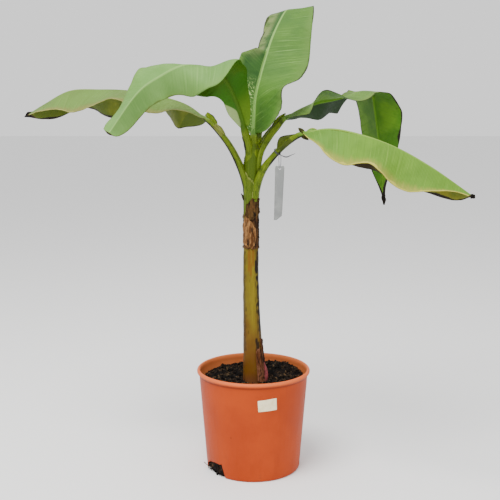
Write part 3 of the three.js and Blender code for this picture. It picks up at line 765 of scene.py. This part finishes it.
# Millimetres and degrees, at even steps along the stalk or the blade. Heading and roll turn the way across
# the blade, and lean and round shape its outline. Droop and curl bend each half down from the rib, and
# scorch is its dry margin. Keel is how dark the painted shade on the stalk's underside is, how wide that is
# and where along the stalk it starts.
LEAVES = {
    "upright": {
        "stalk": [(-1, 4, 784), (-1, 5, 806)],
        "rib": [(0, 6, 827), (2, 16, 872), (6, 30, 917), (16, 48, 965), (29, 70, 1011), (45, 95, 1059),
                (66, 125, 1104), (85, 165, 1133), (97, 210, 1123), (104, 245, 1076)],
        "stalk_radii": [13, 12, 9.5], "heading": [85, 85], "roll": [0, 0, 0, -6, -11, -10, -8],
        "burnt_tip": 6, "clasp": 0.5, "keel": (0.0, 1.1, 0.02), "lean": 0.75, "round": 0.5,
        "left": {"width": [60, 60, 61, 58, 76, 62, 70],
                 "droop": [-15, -15, -20, -30, -38, -50, -60, -88, -100, -100],
                 "tear": {"at": 0.485, "below": 0.08, "above": 0.02, "depth": 0.65, "step": 95},
                 "scorch": [0.5, 0.5, 0.5, 1, 10, 14, 8, 8]},
        "right": {"width": [120, 111, 97, 88], "droop": [-45, -44, -48, -20, -2, 6, 4, 6, 0, 0],
                  "scorch": [0.5, 1.5, 3, 1, 0.5, 2, 3, 2]},
        "nodes": ["blade_upright_rising", "blade_upright_arching"]},
    "near_left": {
        "stalk": [(-7, -4, 735), (-11, -8, 790)],
        "rib": [(-23, -18, 842), (-32, -30, 877), (-48, -48, 918), (-70, -70, 956), (-105, -95, 979),
                (-155, -122, 982), (-204, -145, 958), (-256, -165, 918), (-316, -190, 832)],
        "stalk_radii": [9, 9.5, 9], "heading": [270, 270], "roll": [0, 0], "burnt_tip": 1,
        "clasp": 0.5, "keel": (0.3, 1.1, 0.02), "lean": 0.8, "round": 0.5,
        "left": {"width": [40, 48, 55, 64, 88, 84, 63, 73, 116],
                 "droop": [-45, -48, -50, -50, -50, -58, -68, -30, 15, 20, 20, 30, 34, 34, 40, 42, 30],
                 "curl": [0, 0, 0, 0, 0, 40, 115, 90, 65, 55, 45, 30, 15, 0, 0, 0, 0],
                 "scorch": [0.4, 0.4, 0.4, 0.4, 2.5, 1.0]},
        "right": {"width": [20, 31, 29, 55, 80, 93, 90, 68, 150],
                  "droop": [0, 0, 0, 10, 34, 42, 38, 26, 12, 8, 8, 14, 12, 14, 44, 60, 36],
                  "curl": [0, 0, 0, 0, 0, 0, 0, 0, 30, 50, 50, 40, 38, 12, 0, 0, 0],
                  "scorch": [0.4, 0.4, 0.4, 0.4, 0.4, 0.4]},
        "nodes": ["blade_near_left_rising", "blade_near_left_hanging"]},
    "far_right": {
        "stalk": [(4, 3, 720), (12, 5, 780), (34, 12, 820), (54, 20, 844)],
        "rib": [(74, 30, 865), (113, 42, 888), (153, 46, 902), (193, 49, 910), (231, 57, 920),
                (264, 74, 930), (292, 92, 924), (303, 108, 884), (312, 116, 834), (321, 120, 779),
                (329, 122, 717), (334, 123, 645)],
        "stalk_radii": [9, 10.5, 11, 10, 8], "heading": [25, 28, 35, 42, 42, 42], "roll": [0, 0],
        "burnt_tip": 26, "clasp": 0.9, "keel": (0.35, 1.1, 0.02), "lean": 0.8, "round": 0.6,
        "left": {"width": [82, 90, 92, 92, 84, 94, 103, 76, -5],
                 "droop": [30, 34, 42, 27, 31, 8, -6, -20, -20, -10, 0, 0],
                 "scorch": [1, 2, 3, 4, 3, 6]},
        "right": {"width": [60, 92, 94, 68, 53, 84, 92, 60, -12],
                  "droop": [10, 10, -21, -12, 8, 6, 2, -4, 0, 0, 0, 20], "scorch": [1, 2, 3, 4, 5, 8]},
        "nodes": ["blade_far_right_arm", "blade_far_right_hanging"]},
    "far_left": {
        "stalk": [(-10, 0, 650), (-17, -3, 705), (-32, -5, 751), (-56, 0, 798), (-86, 10, 837)],
        "rib": [(-113, 22, 863), (-158, 35, 896), (-215, 50, 915), (-302, 68, 931), (-377, 82, 934),
                (-454, 96, 931), (-519, 106, 899), (-572, 112, 867)],
        "stalk_radii": [9, 9.5, 9, 8, 7.5, 7], "heading": [163, 163], "roll": [0, 0], "burnt_tip": 24,
        "clasp": 0.4, "keel": (1.35, 1.3, 0.02), "lean": 0.8, "round": 0.6,
        "left": {"width": [60, 95, 95, 80], "droop": [5, 13, 26, 12, 28, 46, 26, 20],
                 "scorch": [1, 1, 1, 1, 3, 4]},
        "right": {"width": [95, 95, 95, 80], "droop": [50, 58, 54, 22, 25, 46, 34, 34, 54, 34],
                  "scorch": [2, 3, 5, 8, 7, 8]},
        "nodes": ["blade_far_left"]},
    "near_right": {
        "stalk": [(0, -5, 650), (7, -10, 702), (21, -19, 741), (43, -31, 772), (75, -49, 806)],
        "rib": [(114, -70, 831), (173, -98, 843), (242, -130, 830), (316, -162, 802), (384, -190, 763),
                (446, -214, 719), (476, -225, 696)],
        "stalk_radii": [9, 9.5, 9, 8, 7.5, 7], "heading": [-24, -24], "roll": [0, 0], "burnt_tip": 22,
        "clasp": 0.4, "keel": (1.0, 1.1, 0.4), "lean": 0.85, "round": 0.9,
        "left": {"width": [90, 92, 90, 80],
                 "droop": [-50, 20, 60, 66, 60, 54, 55, 58, 60, 62, 61, 58, 52],
                 "scorch": [3, 2, 2, 3, 9, 12]},
        "right": {"width": [80, 88, 95, 94, 90, 81, 90, 96, 98, 82, 48, 50, 60],
                  "droop": [40, 44, 50, 56, 51, 36, 32, 46, 48, 34, 26, 26, 28],
                  "scorch": [2, 4, 6, 5, 4, 6]},
        "nodes": ["blade_near_right"]},
}
# Columns of points on each half, crowded towards the rib by a power.
BLADE_COLUMNS = 26
TOWARDS_RIB = 1.35
# The rib's half width and depth at its foot and tip, and the blade's half thickness at its
# rib and margin.
RIB_WIDTH = (0.0056, 0.0014)
RIB_DEPTH = (0.0058, 0.0006)
BLADE_HALF = (0.0009, 0.0004)
WAVE = 0.0022
CRINKLE = 0.0006


def blade_start(leaf):
    """Where on the whole leaf's line its blade begins."""
    return len(leaf["stalk"]) / (len(leaf["stalk"]) + len(leaf["rib"]) - 1)


def leaf_frame(leaf, u, t):
    """Middle, along, across to the left and up, at u along the whole leaf and t along its blade."""
    line = np.array(leaf["stalk"] + leaf["rib"]) / 1000
    middle, along = through(line, u), direction(line, u)
    heading = np.radians(through(leaf["heading"], t))
    across = points_of(-np.sin(heading), np.cos(heading), 0)
    across = unit(across - along * (along * across).sum(-1, keepdims=True))
    up = np.cross(along, across)
    roll = np.radians(through(leaf["roll"], t))[:, None]
    cosine, sine = np.cos(roll), np.sin(roll)
    return middle, along, across * cosine + up * sine, up * cosine - across * sine


def blade_stations(leaf):
    """Places along a blade, closer together at a tear."""
    t = np.linspace(0, 1, 170)
    for half in ("left", "right"):
        tear = leaf[half].get("tear")
        if tear:
            t = np.concatenate([t, tear["at"] + tear["above"] * np.linspace(-1.1, 1.1, 40)])
    return np.unique(t)


def half_blade(leaf, half, sign, t, shares, middle, across, up):
    """One side's middle surface, from the rib to the margin: points and distances from the rib."""
    fullness = np.sin(np.pi * t ** leaf["lean"]) ** leaf["round"]
    width = through(half["width"], t) / 1000 * fullness + TIP_HALF_WIDTH
    droop = through(half["droop"], t)
    tear = half.get("tear")
    if tear:
        past = (t - tear["at"]) / np.where(t < tear["at"], -tear["below"], tear["above"])
        width = width * (1 - tear["depth"] * np.maximum(0, 1 - past))
        droop = droop + tear["step"] * step(tear["at"] - tear["above"], tear["at"] + tear["above"], t)
    curl = through(half.get("curl", [0, 0]), t)[:, None] * (shares[1:] + shares[:-1]) / 2
    angle = np.radians(step(0, FOLD_WIDTH, width)[:, None] * (droop[:, None] + curl))[..., None]
    way = sign * across[:, None] * np.cos(angle) - up[:, None] * np.sin(angle)
    return middle[:, None] + np.cumsum((width[:, None] * np.diff(shares))[..., None] * way, axis=1), width


def make_blade(name, leaf, finish, seed):
    t = blade_stations(leaf)
    u = blade_start(leaf) + (1 - blade_start(leaf)) * t
    middle, along, across, up = leaf_frame(leaf, u, t)
    shares = np.linspace(0, 1, BLADE_COLUMNS + 1) ** TOWARDS_RIB
    left, left_width = half_blade(leaf, leaf["left"], 1, t, shares, middle, across, up)
    right, right_width = half_blade(leaf, leaf["right"], -1, t, shares, middle, across, up)
    surface = np.concatenate([right[:, ::-1], middle[:, None], left], 1)
    share = np.concatenate([-shares[:0:-1], shares])[None, :] * np.ones((len(t), 1))
    width = np.where(share > 0, left_width[:, None], right_width[:, None])
    reach = share * width
    length = np.concatenate([[0], np.cumsum(np.linalg.norm(np.diff(middle, axis=0), axis=1))])[:, None]
    whole = length[-1, 0]

    # Waves and crinkles run along the slanting veins, differ on the two halves, and fade
    # out at the blade's foot and tip.
    normal = unit(np.cross(*np.gradient(surface, axis=(0, 1))))
    inland = np.minimum(step(0, 0.06, t), step(0, 0.08, 1 - t))[:, None]
    field = points_of(length + 0.3 * np.abs(reach), np.abs(reach) * 0.35, np.sign(share) * 3)
    waves = WAVE * share**2 * ripple(field, 0.055, seed)
    waves = waves + CRINKLE * np.abs(share) * ripple(field, 0.014, seed + 1)
    surface = surface + (inland * waves)[..., None] * normal
    normal = unit(np.cross(*np.gradient(surface, axis=(0, 1))))

    def taper(pair):
        return pair[0] + (pair[1] - pair[0]) * t[:, None]

    near_rib = reach / taper(RIB_WIDTH)
    keel = taper(RIB_DEPTH) * np.sqrt(np.maximum(0, 1 - near_rib**2))
    groove = 0.25 * taper(RIB_DEPTH) * bell(near_rib / 0.5)
    half_thick = BLADE_HALF[0] + (BLADE_HALF[1] - BLADE_HALF[0]) * np.abs(share)
    upper = surface + (half_thick - groove)[..., None] * normal
    under = surface - (half_thick + keel)[..., None] * normal

    # The ragged dry margin and the burnt tip.
    scorch = [through(leaf[half]["scorch"], t)[:, None] / 1000 for half in ("left", "right")]
    scorched = np.where(share > 0, *scorch)
    rim = (1 - np.abs(share)) * width
    ragged = 1 + 0.8 * ripple(field, 0.03, seed + 2)
    dry = 1 - step(0.2, 1.0, rim / (scorched * np.maximum(ragged, 0.1) + 0.0006))
    dry = dry * step(0.0002, 0.0022, scorched * ragged)
    burnt = leaf["burnt_tip"] / 1000
    tip = 1 - step(0.3 * burnt, burnt, (whole - length) + 0.2 * burnt * ripple(field, 0.02, seed + 3))
    sheet(f"{name}_blade", (upper, under), finish, "leaf", leaf["nodes"], length=length, reach=np.abs(reach),
          share=np.abs(share), rib=np.abs(near_rib), side=share, dry=dry, tip=tip, under=[[[0]], [[1]]])


VEIN_SPACING = 0.0032


def leaf_skin(s, tones, flecked, foot_length):
    """Veins, streaks and patches over and under a blade, a left half that is painted darker as painted shade
    on the upright, flecks and worn parts on the right half, tones under its foot that are painted shade on
    the far right leaf and painted light on the near left one, darker creases that are painted shade, and the
    dry margin and tip."""
    upper, dark, left, foot, margin, rim_tone, pale, under, under_light, hollow, flap = tones
    length, reach, share, side = s.own("length"), s.own("reach"), s.own("share"), s.own("side")
    dry, below = s.own("dry"), s.own("under").band(0.4, 0.6)
    lean = length - reach * 0.35
    fine = s.math("SINE", lean * (2 * math.pi / VEIN_SPACING))
    streak = s.fibre(lean * 260, reach * 9, below * 5)
    broad = s.fibre(lean * 42, reach * 8, below * 9)
    cloud = s.noise(14)
    crease = s.fibre(lean * 95, reach * 5, below * 7 + 2)
    fleck = s.fibre(lean * 230, reach * 150, 5.0, 2)
    scar = (1 - length.band(0.1, 0.145)) * side.band(0.05, 0.2)
    worn = side.band(0.15, 0.6) * length.band(0.16, 0.24) * broad.band(0.3, 0.52)
    at_foot = 1 - length.band(foot_length - 0.03, foot_length + 0.03)
    outer = (share - length.band(0.04, 0.085) * 0.9).band(0.12, 0.25)
    rib = 1 - s.own("rib").band(0.7, 1.25)
    wilt = dry + (streak - 0.5) * 0.5
    burnt = s.own("tip") + (streak - 0.5) * 0.5
    top = s.tone(*upper).layered(
        # On the upright the left half tone is painted shade.
        (*left, side.band(-0.05, 0.05)),
        (*foot, 1 - length.band(0.04, 0.16)),
        (*dark, cloud.band(0.4, 0.68) * 0.6),
        (*dark, streak.band(0.5, 0.75) * 0.5),
        (*pale, broad.band(0.56, 0.78) * 0.25),
        (*pale, streak.band(0.44, 0.28) * 0.45),
        (*margin, (share + (broad - 0.5) * 0.25 + (streak - 0.5) * 0.3).band(0.7, 0.98)),
        # Darker creases along the veins: painted shade in the creases.
        (*dark, crease.band(0.56, 0.66) * (0.25 + 0.6 * flecked * side.band(-0.1, 0.1))),
        (140, 168, 96, fleck.band(0.5, 0.62) * scar * flecked),
        (112, 126, 76, worn * flecked * flecked * 0.85),
        (*pale, rib * 0.75),
        (*rim_tone, wilt.band(0.1, 0.5) * 0.85))
    bottom = s.tone(*under).layered(
        (*under_light, cloud.band(0.4, 0.65)),
        (*under, streak.band(0.48, 0.7) * 0.5),
        # The left and right foot tones under the blade: painted shade on the far right, painted light on the
        # near left.
        (*hollow, side.band(-0.05, 0.05) * at_foot),
        (*flap, (1 - side.band(-0.1, 0.0)) * outer * (1 - length.band(0.08, 0.1))),
        (*under_light, rib * 0.8),
        (26, 20, 10, wilt.band(0.15, 0.5)))
    base = top.mix(bottom, below).layered(
        (60, 40, 20, burnt.band(0.2, 0.5)),
        (14, 10, 8, burnt.band(0.5, 0.8)))
    relief = fine * 0.35 + streak * 1.2 + broad * 1.5
    return base, 0.5 + 0.2 * streak + 0.2 * burnt.band(0.3, 0.8), s.bump(relief, 0.0006, 0.8)


def stalk_skin(s, green, light, pale, rib):
    """Green flesh with fibres, pale above, dark on its lips, with painted shade on its keel, and like the
    rib at its end.
    """
    lip, keel = s.own("lip"), s.own("keel")
    fibre = s.fibre(s.own("around") * 9, s.own("length") * 22, 0.0, 4)
    cloud = s.noise(40, 4)
    base = s.tone(*green).layered(
        (*light, fibre.band(0.42, 0.66)),
        (42, 56, 6, cloud.band(0.48, 0.7) * 0.8),
        (*pale, s.own("above") * 0.5),
        (*rib, s.own("end")),
        (14, 10, 8, (lip + (cloud - 0.5) * 0.8).band(0.45, 0.9)),
        (10, 8, 8, (keel + (cloud - 0.5) * 0.5).band(0.35, 0.8)))
    return base, 0.4 + 0.2 * cloud, s.bump(fibre, 0.0006)


def stalk_frame(leaf, start, end, rows):
    """Places along a stalk as a column, then its middle, across, up and radius at each."""
    u = np.linspace(start, end, rows)
    middle, along, across, up = leaf_frame(leaf, u, np.zeros(rows))
    radius = through(leaf["stalk_radii"], np.minimum(u / blade_start(leaf), 1)) / 1000
    return [values[:, None] for values in (u, middle, across, up, radius)]


def make_stalk(name, leaf, finish):
    rows, sides = 100, 40
    start = blade_start(leaf)
    u, middle, across, up, radius = stalk_frame(leaf, 0, start + 0.05, rows)
    share = np.minimum(u / start, 1)
    sunk = step(start - 0.02, start + 0.05, u)
    angle = round_turn(sides)
    off_top = np.abs(around_from(angle, 90))
    # A hollow along the top with a lip on either side, and a foot that widens to clasp the
    # stem. Under the blade the stalk thins and sinks.
    channel = 1 - 0.38 * bell(off_top / 0.42) + 0.1 * bell((off_top - 0.85) / 0.22)
    clasp = 1 + leaf["clasp"] * (1 - step(0, 0.6, share))
    reach = radius * (1 - 0.7 * sunk) * channel
    points = middle + (reach * np.cos(angle) * clasp)[..., None] * across
    points = points + (reach * np.sin(angle) - 0.004 * sunk)[..., None] * up
    end = step(start - 0.03, start + 0.01, u)
    # The keel number darkens the stalk's underside as painted shade.
    most, spread, first = leaf["keel"]
    numbers = {"lip": bell((off_top - 0.85) / 0.12) * (1 - end), "above": bell(off_top / 0.5), "end": end,
               "keel": most * bell((np.pi - off_top) / spread) * step(first, first + 0.2, share),
               "around": angle, "length": u}
    numbers = {key: np.broadcast_to(values, (rows, sides)) for key, values in numbers.items()}
    piece(f"{name}_stalk", points.reshape(-1, 3), limb_faces(rows, sides), finish, "stalk",
          [f"stalk_{name}"], **numbers)


PATCH_THICKNESS = 0.0012
WING_HALF_THICKNESS = 0.0022


def stalk_patch(name, place, span, angles, proud, finish, seed):
    """A patch of sheath on a stalk, between two angles round it, and evenly spaced heights
    that its middle stands proud of the stalk."""
    rows, columns = 50, 24
    u, middle, across, up, radius = stalk_frame(LEAVES[place], *span, rows)
    angle = np.radians(np.linspace(*angles, columns))
    out_by = through(proud, np.linspace(0, 1, rows))[:, None] / 1000
    arch = np.sin(np.linspace(0.12, np.pi - 0.12, columns))
    reach = radius + out_by * arch + 0.0006 * ripple(points_of(u * 40, angle * 1.5), 1.2, seed)
    way = across * np.cos(angle)[:, None] + up * np.sin(angle)[:, None]
    outer = middle + reach[..., None] * way
    sheet(name, (outer, outer - PATCH_THICKNESS * way), finish, "stalk",
          lip=0, above=0, keel=0, end=0, around=angle, length=u)


def stalk_wing(name, place, span, angle, heights, finish, seed, lip=0.9):
    """A thin wing that stands up from a stalk at an angle round it, with evenly spaced
    heights and thinner towards its edge. lip is how dark that edge is."""
    rows, columns = 60, 12
    u, middle, across, up, radius = stalk_frame(LEAVES[place], *span, rows)
    turn = math.radians(angle)
    outward = across * math.cos(turn) + up * math.sin(turn)
    sideways = up * math.cos(turn) - across * math.sin(turn)
    share = np.linspace(0, 1, columns)
    rise = through(heights, np.linspace(0, 1, rows))[:, None] / 1000 * share
    curl = 0.0022 * ripple(points_of(u * 40, share * 2), 1.6, seed) * share
    surface = middle + (0.6 * radius + rise)[..., None] * outward + curl[..., None] * sideways
    thick = (WING_HALF_THICKNESS * (1 - 0.6 * share))[:, None] * sideways
    sheet(name, (surface + thick, surface - thick), finish, "stalk",
          lip=lip * step(0.72, 0.95, share), above=0, keel=0, end=0, around=share, length=u)


# Each leaf's tones: upper side, its darker patches, its left half, its foot, its margin, its dry rim and its
# veins; under side, its lighter patches, its left foot and right foot. The upright's left half tone is
# painted shade, the far right's left foot tone is painted shade, and the near left's right foot tone is
# painted light.
TONES = {
    "upright": [(73, 109, 41), (54, 89, 36), (38, 72, 31), (66, 104, 33), (80, 112, 48), (44, 52, 26),
                (124, 160, 84), (50, 92, 16), (76, 110, 24), (50, 92, 16), (50, 92, 16)],
    "near_left": [(98, 138, 68), (84, 124, 56), (98, 136, 68), (90, 128, 46), (96, 132, 62), (84, 100, 44),
                  (120, 156, 84), (46, 92, 12), (58, 88, 10), (92, 124, 30), (134, 156, 96)],
    "far_right": [(88, 122, 50), (66, 96, 36), (88, 122, 50), (112, 150, 64), (92, 118, 50), (36, 40, 18),
                  (110, 136, 56), (54, 96, 10), (80, 120, 20), (14, 44, 2), (54, 96, 10)],
    "far_left": [(92, 118, 50), (82, 104, 44), (92, 122, 54), (88, 112, 50), (112, 112, 58), (150, 150, 84),
                 (120, 138, 72), (68, 82, 10), (94, 102, 20), (66, 82, 12), (66, 82, 12)],
    "near_right": [(92, 130, 38), (76, 112, 32), (92, 132, 44), (88, 128, 46), (130, 134, 54),
                   (172, 166, 72), (122, 152, 62), (74, 86, 16), (110, 108, 24), (40, 30, 8), (70, 84, 16)],
}
STALK_TONES = [(72, 92, 6), (106, 122, 18), (116, 130, 42)]
stalk_finish = material("stalk_skin", stalk_skin, *STALK_TONES, (94, 130, 50))
wing_finish = material("wing_skin", stalk_skin, (48, 58, 6), (66, 76, 10), (60, 70, 20), (60, 70, 20))
for seed, (name, leaf) in enumerate(LEAVES.items()):
    flecked = 1.0 if name == "upright" else 0.2
    foot_length = 0.06 if name == "near_left" else 0.2
    skin = material(f"{name}_skin", leaf_skin, TONES[name], flecked, foot_length)
    make_blade(name, leaf, skin, 100 + 10 * seed)
    rib_tone = TONES[name][8] if name == "near_left" else TONES[name][0]
    make_stalk(name, leaf, material(f"{name}_stalk_skin", stalk_skin, *STALK_TONES, rib_tone))

# The soft heart of the fork, from which the upright stalk rises.
heart_line = [(-3, 0, 760), (-2, 2, 785), (-1, 4, 805), (0, 6, 824)]
limb("fork_heart", heart_line, [15.5, 15.2, 12.8, 7], 60, 40, stalk_finish, "stalk",
     lip=0, above=0, keel=0, end=0, around=lambda points: np.arctan2(points[:, 1], points[:, 0]),
     length=lambda points: points[:, 2] * 2)

# What is left of the sheaths on the stalks: narrow wings with dark rims below the blades,
# a pale papery knob on the far left stalk and a dead twisted fold on the near right one.
# A near-black stalk finish, used for painted shade.
shade_patch_finish = material("painted_shade_patch", stalk_skin, (16, 20, 4), (26, 32, 6), (32, 36, 10), (16, 20, 4))
knob_finish = material("knob_skin", papery, (126, 134, 66), (104, 108, 44), (52, 46, 20))
stalk_wing("wing_near_right", "near_right", (0.318, 0.432), 90, [0, 11, 16, 14, 9, 4, 0], wing_finish, 201)
stalk_patch("patch_near_right", "near_right", (0.322, 0.4), (40, 262), [0.2, 1, 1.2, 0.8, 0.1],
            wing_finish, 241)
stalk_wing("wing_upright", "upright", (0.02, 0.2), 180, [3, 6, 9, 12, 14, 15], stalk_finish, 251, 0.4)
# A dark sheet on the near left stalk's lower left side: painted shade.
stalk_patch("painted_shade_near_left", "near_left", (0.1, 0.16), (170, 232), [0.2, 0.7, 0.7, 0.2], shade_patch_finish, 261)
stalk_wing("wing_far_left", "far_left", (0.343, 0.43), 90, [0, 6, 10, 12, 12, 10], stalk_finish, 211)
stalk_wing("wing_far_right", "far_right", (0.17, 0.28), 80, [0, 4, 6, 7, 6, 4], stalk_finish, 221, 1.2)
stalk_patch("knob_far_left", "far_left", (0.298, 0.358), (-20, 150), [0.4, 3.4, 4.6, 3, 0.6],
            knob_finish, 231)


def withered(name, line, radii, rows, finish, swell, twist):
    """A dead, twisted roll of leaf or sheath."""
    limb(name, line, radii, rows, 20, finish, "dry_sheath",
         lambda t, angle: 1 + swell * np.sin(3 * angle + twist * t) * np.sin(np.pi * t),
         around=lambda points: points[:, 0] * 300, rim=0, grey=0, shade=0.15)


fold_line = [(103, -64, 843), (108, -66, 838), (113.5, -69, 830), (118, -68, 822), (127, -66, 815)]
withered("fold_near_right", fold_line, [0.8, 4.5, 6.2, 5.2, 0.8], 60,
         material("dead_fold", papery, (74, 76, 22), (40, 36, 12), (10, 7, 5)), 0.25, 9)

# The dead, shrivelled tips of the three leaves that hang.
tip_finish = material("dead_tip", papery, (34, 28, 18), (18, 14, 10), (8, 6, 5))
for name in ("near_right", "far_left", "far_right"):
    tip_line = 1000 * leaf_frame(LEAVES[name], np.linspace(0.966, 1.0, 5), np.ones(5))[0]
    withered(f"dead_tip_{name}", tip_line, [0.8, 3.4, 5, 4.2, 1.2], 50, tip_finish, 0.3, 11)


# Tag: a bare strip of grey-white plastic, slightly bowed, that hangs by two thin strands
# from a tie round the near right leaf's stalk. The tie's loose end sticks out.
TAG = {"x": 0.0615, "y": -0.042, "top": 0.754, "wide": 0.022, "long": 0.128, "thick": 0.0008}
# How far its lower edge slants, its right side and its left side move left on the way
# down, and its middle bows to the front.
TAG_SLANT, TAG_TAPER, TAG_LEAN, TAG_BOW = 0.01, 0.0055, 0.0025, 0.003
TIE_PLACE = 0.312
STRAND = 0.0006


def tag_plastic(s):
    grain = s.noise(300)
    stain = s.noise(40, 4)
    base = s.tone(123, 125, 124).layered(
        (136, 138, 136, stain.band(0.4, 0.7)),
        (106, 106, 104, grain.band(0.6, 0.8) * 0.4))
    return base, 0.45 + 0.15 * stain, s.bump(grain + stain, 0.0002)


def tie_wire(s):
    return s.tone(72, 72, 76), 0.5 + 0.2 * s.noise(300)


tag_finish = material("tag_plastic", tag_plastic)
skin, down, share = np.meshgrid([-0.5, 0.5], np.linspace(0, 1, 60), np.linspace(0, 1, 14), indexing="ij")
# Its upper corners are clipped, and its lower edge slants from a third of the way across.
clipped = 0.05 * np.maximum(0, 0.03 - down)
left = -TAG["wide"] / 2 - TAG_LEAN * down + clipped
right = TAG["wide"] / 2 - TAG_TAPER * down - clipped
bow = TAG_BOW * (1 - (2 * down - 1) ** 2) + 0.0012 * np.sin(3 * down + 2 * share)
drop = TAG["long"] * down - TAG_SLANT * np.maximum(0, share - 0.35) / 0.65 * np.maximum(0, down - 0.8) / 0.2
tag_skins = points_of(TAG["x"] + left + (right - left) * share, TAG["y"] + TAG["thick"] * skin - bow,
                      TAG["top"] - drop)
tag_strip = sheet("tag_strip", tag_skins, tag_finish, "tag", ["tag"])
turn = round_turn(24)
hole_drop, hole_radius, hole_reach = 0.006, 0.003, 0.02
cut_away(tag_strip, *(points_of(TAG["x"] + hole_radius * np.cos(turn), TAG["y"] + reach,
                                TAG["top"] - hole_drop - hole_radius * np.sin(turn))
                      for reach in (-hole_reach, hole_reach)))

# The tie: two turns round the stalk, two strands down through the hole, and a loose end.
leaf = LEAVES["near_right"]
tie_frame = leaf_frame(leaf, np.array([TIE_PLACE]), np.zeros(1))
tie_middle, tie_along, tie_across, tie_up = (way[0] for way in tie_frame)
tie_radius = through(leaf["stalk_radii"], TIE_PLACE / blade_start(leaf)) / 1000 + 2 * STRAND
parts = []
for offset in (-0.0012, 0.0009):
    turn = np.linspace(0, 2 * np.pi, 49)
    loop = tie_middle + offset * tie_along + tie_radius * (
        np.cos(turn)[:, None] * tie_across + np.sin(turn)[:, None] * tie_up)
    parts.append(tube(loop, [STRAND] * 2, 120, 8))
knot = tie_middle - tie_radius * tie_up
for shift in (-0.0022, 0.0024):
    strand_line = [knot + [shift * 0.3, 0, 0.001],
                   (0.6 * knot[0] + 0.4 * TAG["x"] + shift, TAG["y"], 0.776),
                   (TAG["x"] + shift, TAG["y"] - 0.0006, 0.762),
                   (TAG["x"] + shift * 0.4, TAG["y"] - 0.0012, 0.7495),
                   (TAG["x"], TAG["y"] + 0.0006, 0.7472)]
    parts.append(tube(strand_line, [STRAND] * 2, 50, 8))
tail_line = knot + [(0, 0, 0), (0.007, -0.002, -0.0035), (0.016, -0.003, -0.0055), (0.026, -0.003, -0.0015),
                    (0.036, -0.002, 0.0025)]
parts.append(tube(tail_line, [0.0008, 0.0011, 0.0014, 0.0009, 0.0004], 40, 8))
tie_points = np.concatenate([points for points, _ in parts])
start_at = np.cumsum([0, *(len(points) for points, _ in parts)])
tie_faces = [[start + k for k in face] for (_, faces), start in zip(parts, start_at) for face in faces]
piece("tag_tie", tie_points, tie_faces, material("tie_wire", tie_wire), "tag")


# Floor, lights and camera: a pale studio floor under one large soft light from above and
# the left, a weaker one in front, even light all round, and the photograph's view.
def studio_floor(s):
    return s.tone(238.6, 238.6, 238.6), 0.9 + 0.05 * s.noise(3)


studio = show_mesh("studio_floor", [(-30, -30, 0), (30, -30, 0), (30, 30, 0), (-30, 30, 0)], [(0, 1, 2, 3)])
studio.data.materials.append(material("studio_floor", studio_floor))


def soft_light(name, place, target, size, power, color):
    lamp = bpy.data.lights.new(name, "AREA")
    lamp.shape = "DISK"
    lamp.size = size
    lamp.energy = power
    lamp.color = color
    held = show(name, lamp)
    held.location = place
    way = np.array(target) - np.array(place)
    held.rotation_euler = (math.acos(-way[2] / np.linalg.norm(way)), 0, math.atan2(-way[0], way[1]))


soft_light("sky", (-0.9, -1.3, 3.4), (0, 0, 0.8), 2.0, 170, (1.0, 0.99, 0.96))
soft_light("front", (0.7, -3.2, 1.6), (0, 0, 0.6), 2.2, 30, (1.0, 1.0, 1.0))
ALL_ROUND = 1.15
world = bpy.data.worlds.new("studio")
world.use_nodes = True
world.node_tree.nodes["Background"].inputs["Color"].default_value = (1.0, 1.0, 1.0, 1.0)
world.node_tree.nodes["Background"].inputs["Strength"].default_value = ALL_ROUND
bpy.context.scene.world = world

CAMERA_PLACE = (-0.0085, -2.1, 0.88)
CAMERA_DOWN = math.radians(9.0)
CAMERA_LENS = 62.9
camera = bpy.data.cameras.new("view")
camera.lens = CAMERA_LENS
camera.sensor_width = 36.0
view = show("view", camera)
view.location = CAMERA_PLACE
view.rotation_euler = (math.pi / 2 - CAMERA_DOWN, 0, 0)
bpy.context.scene.camera = view
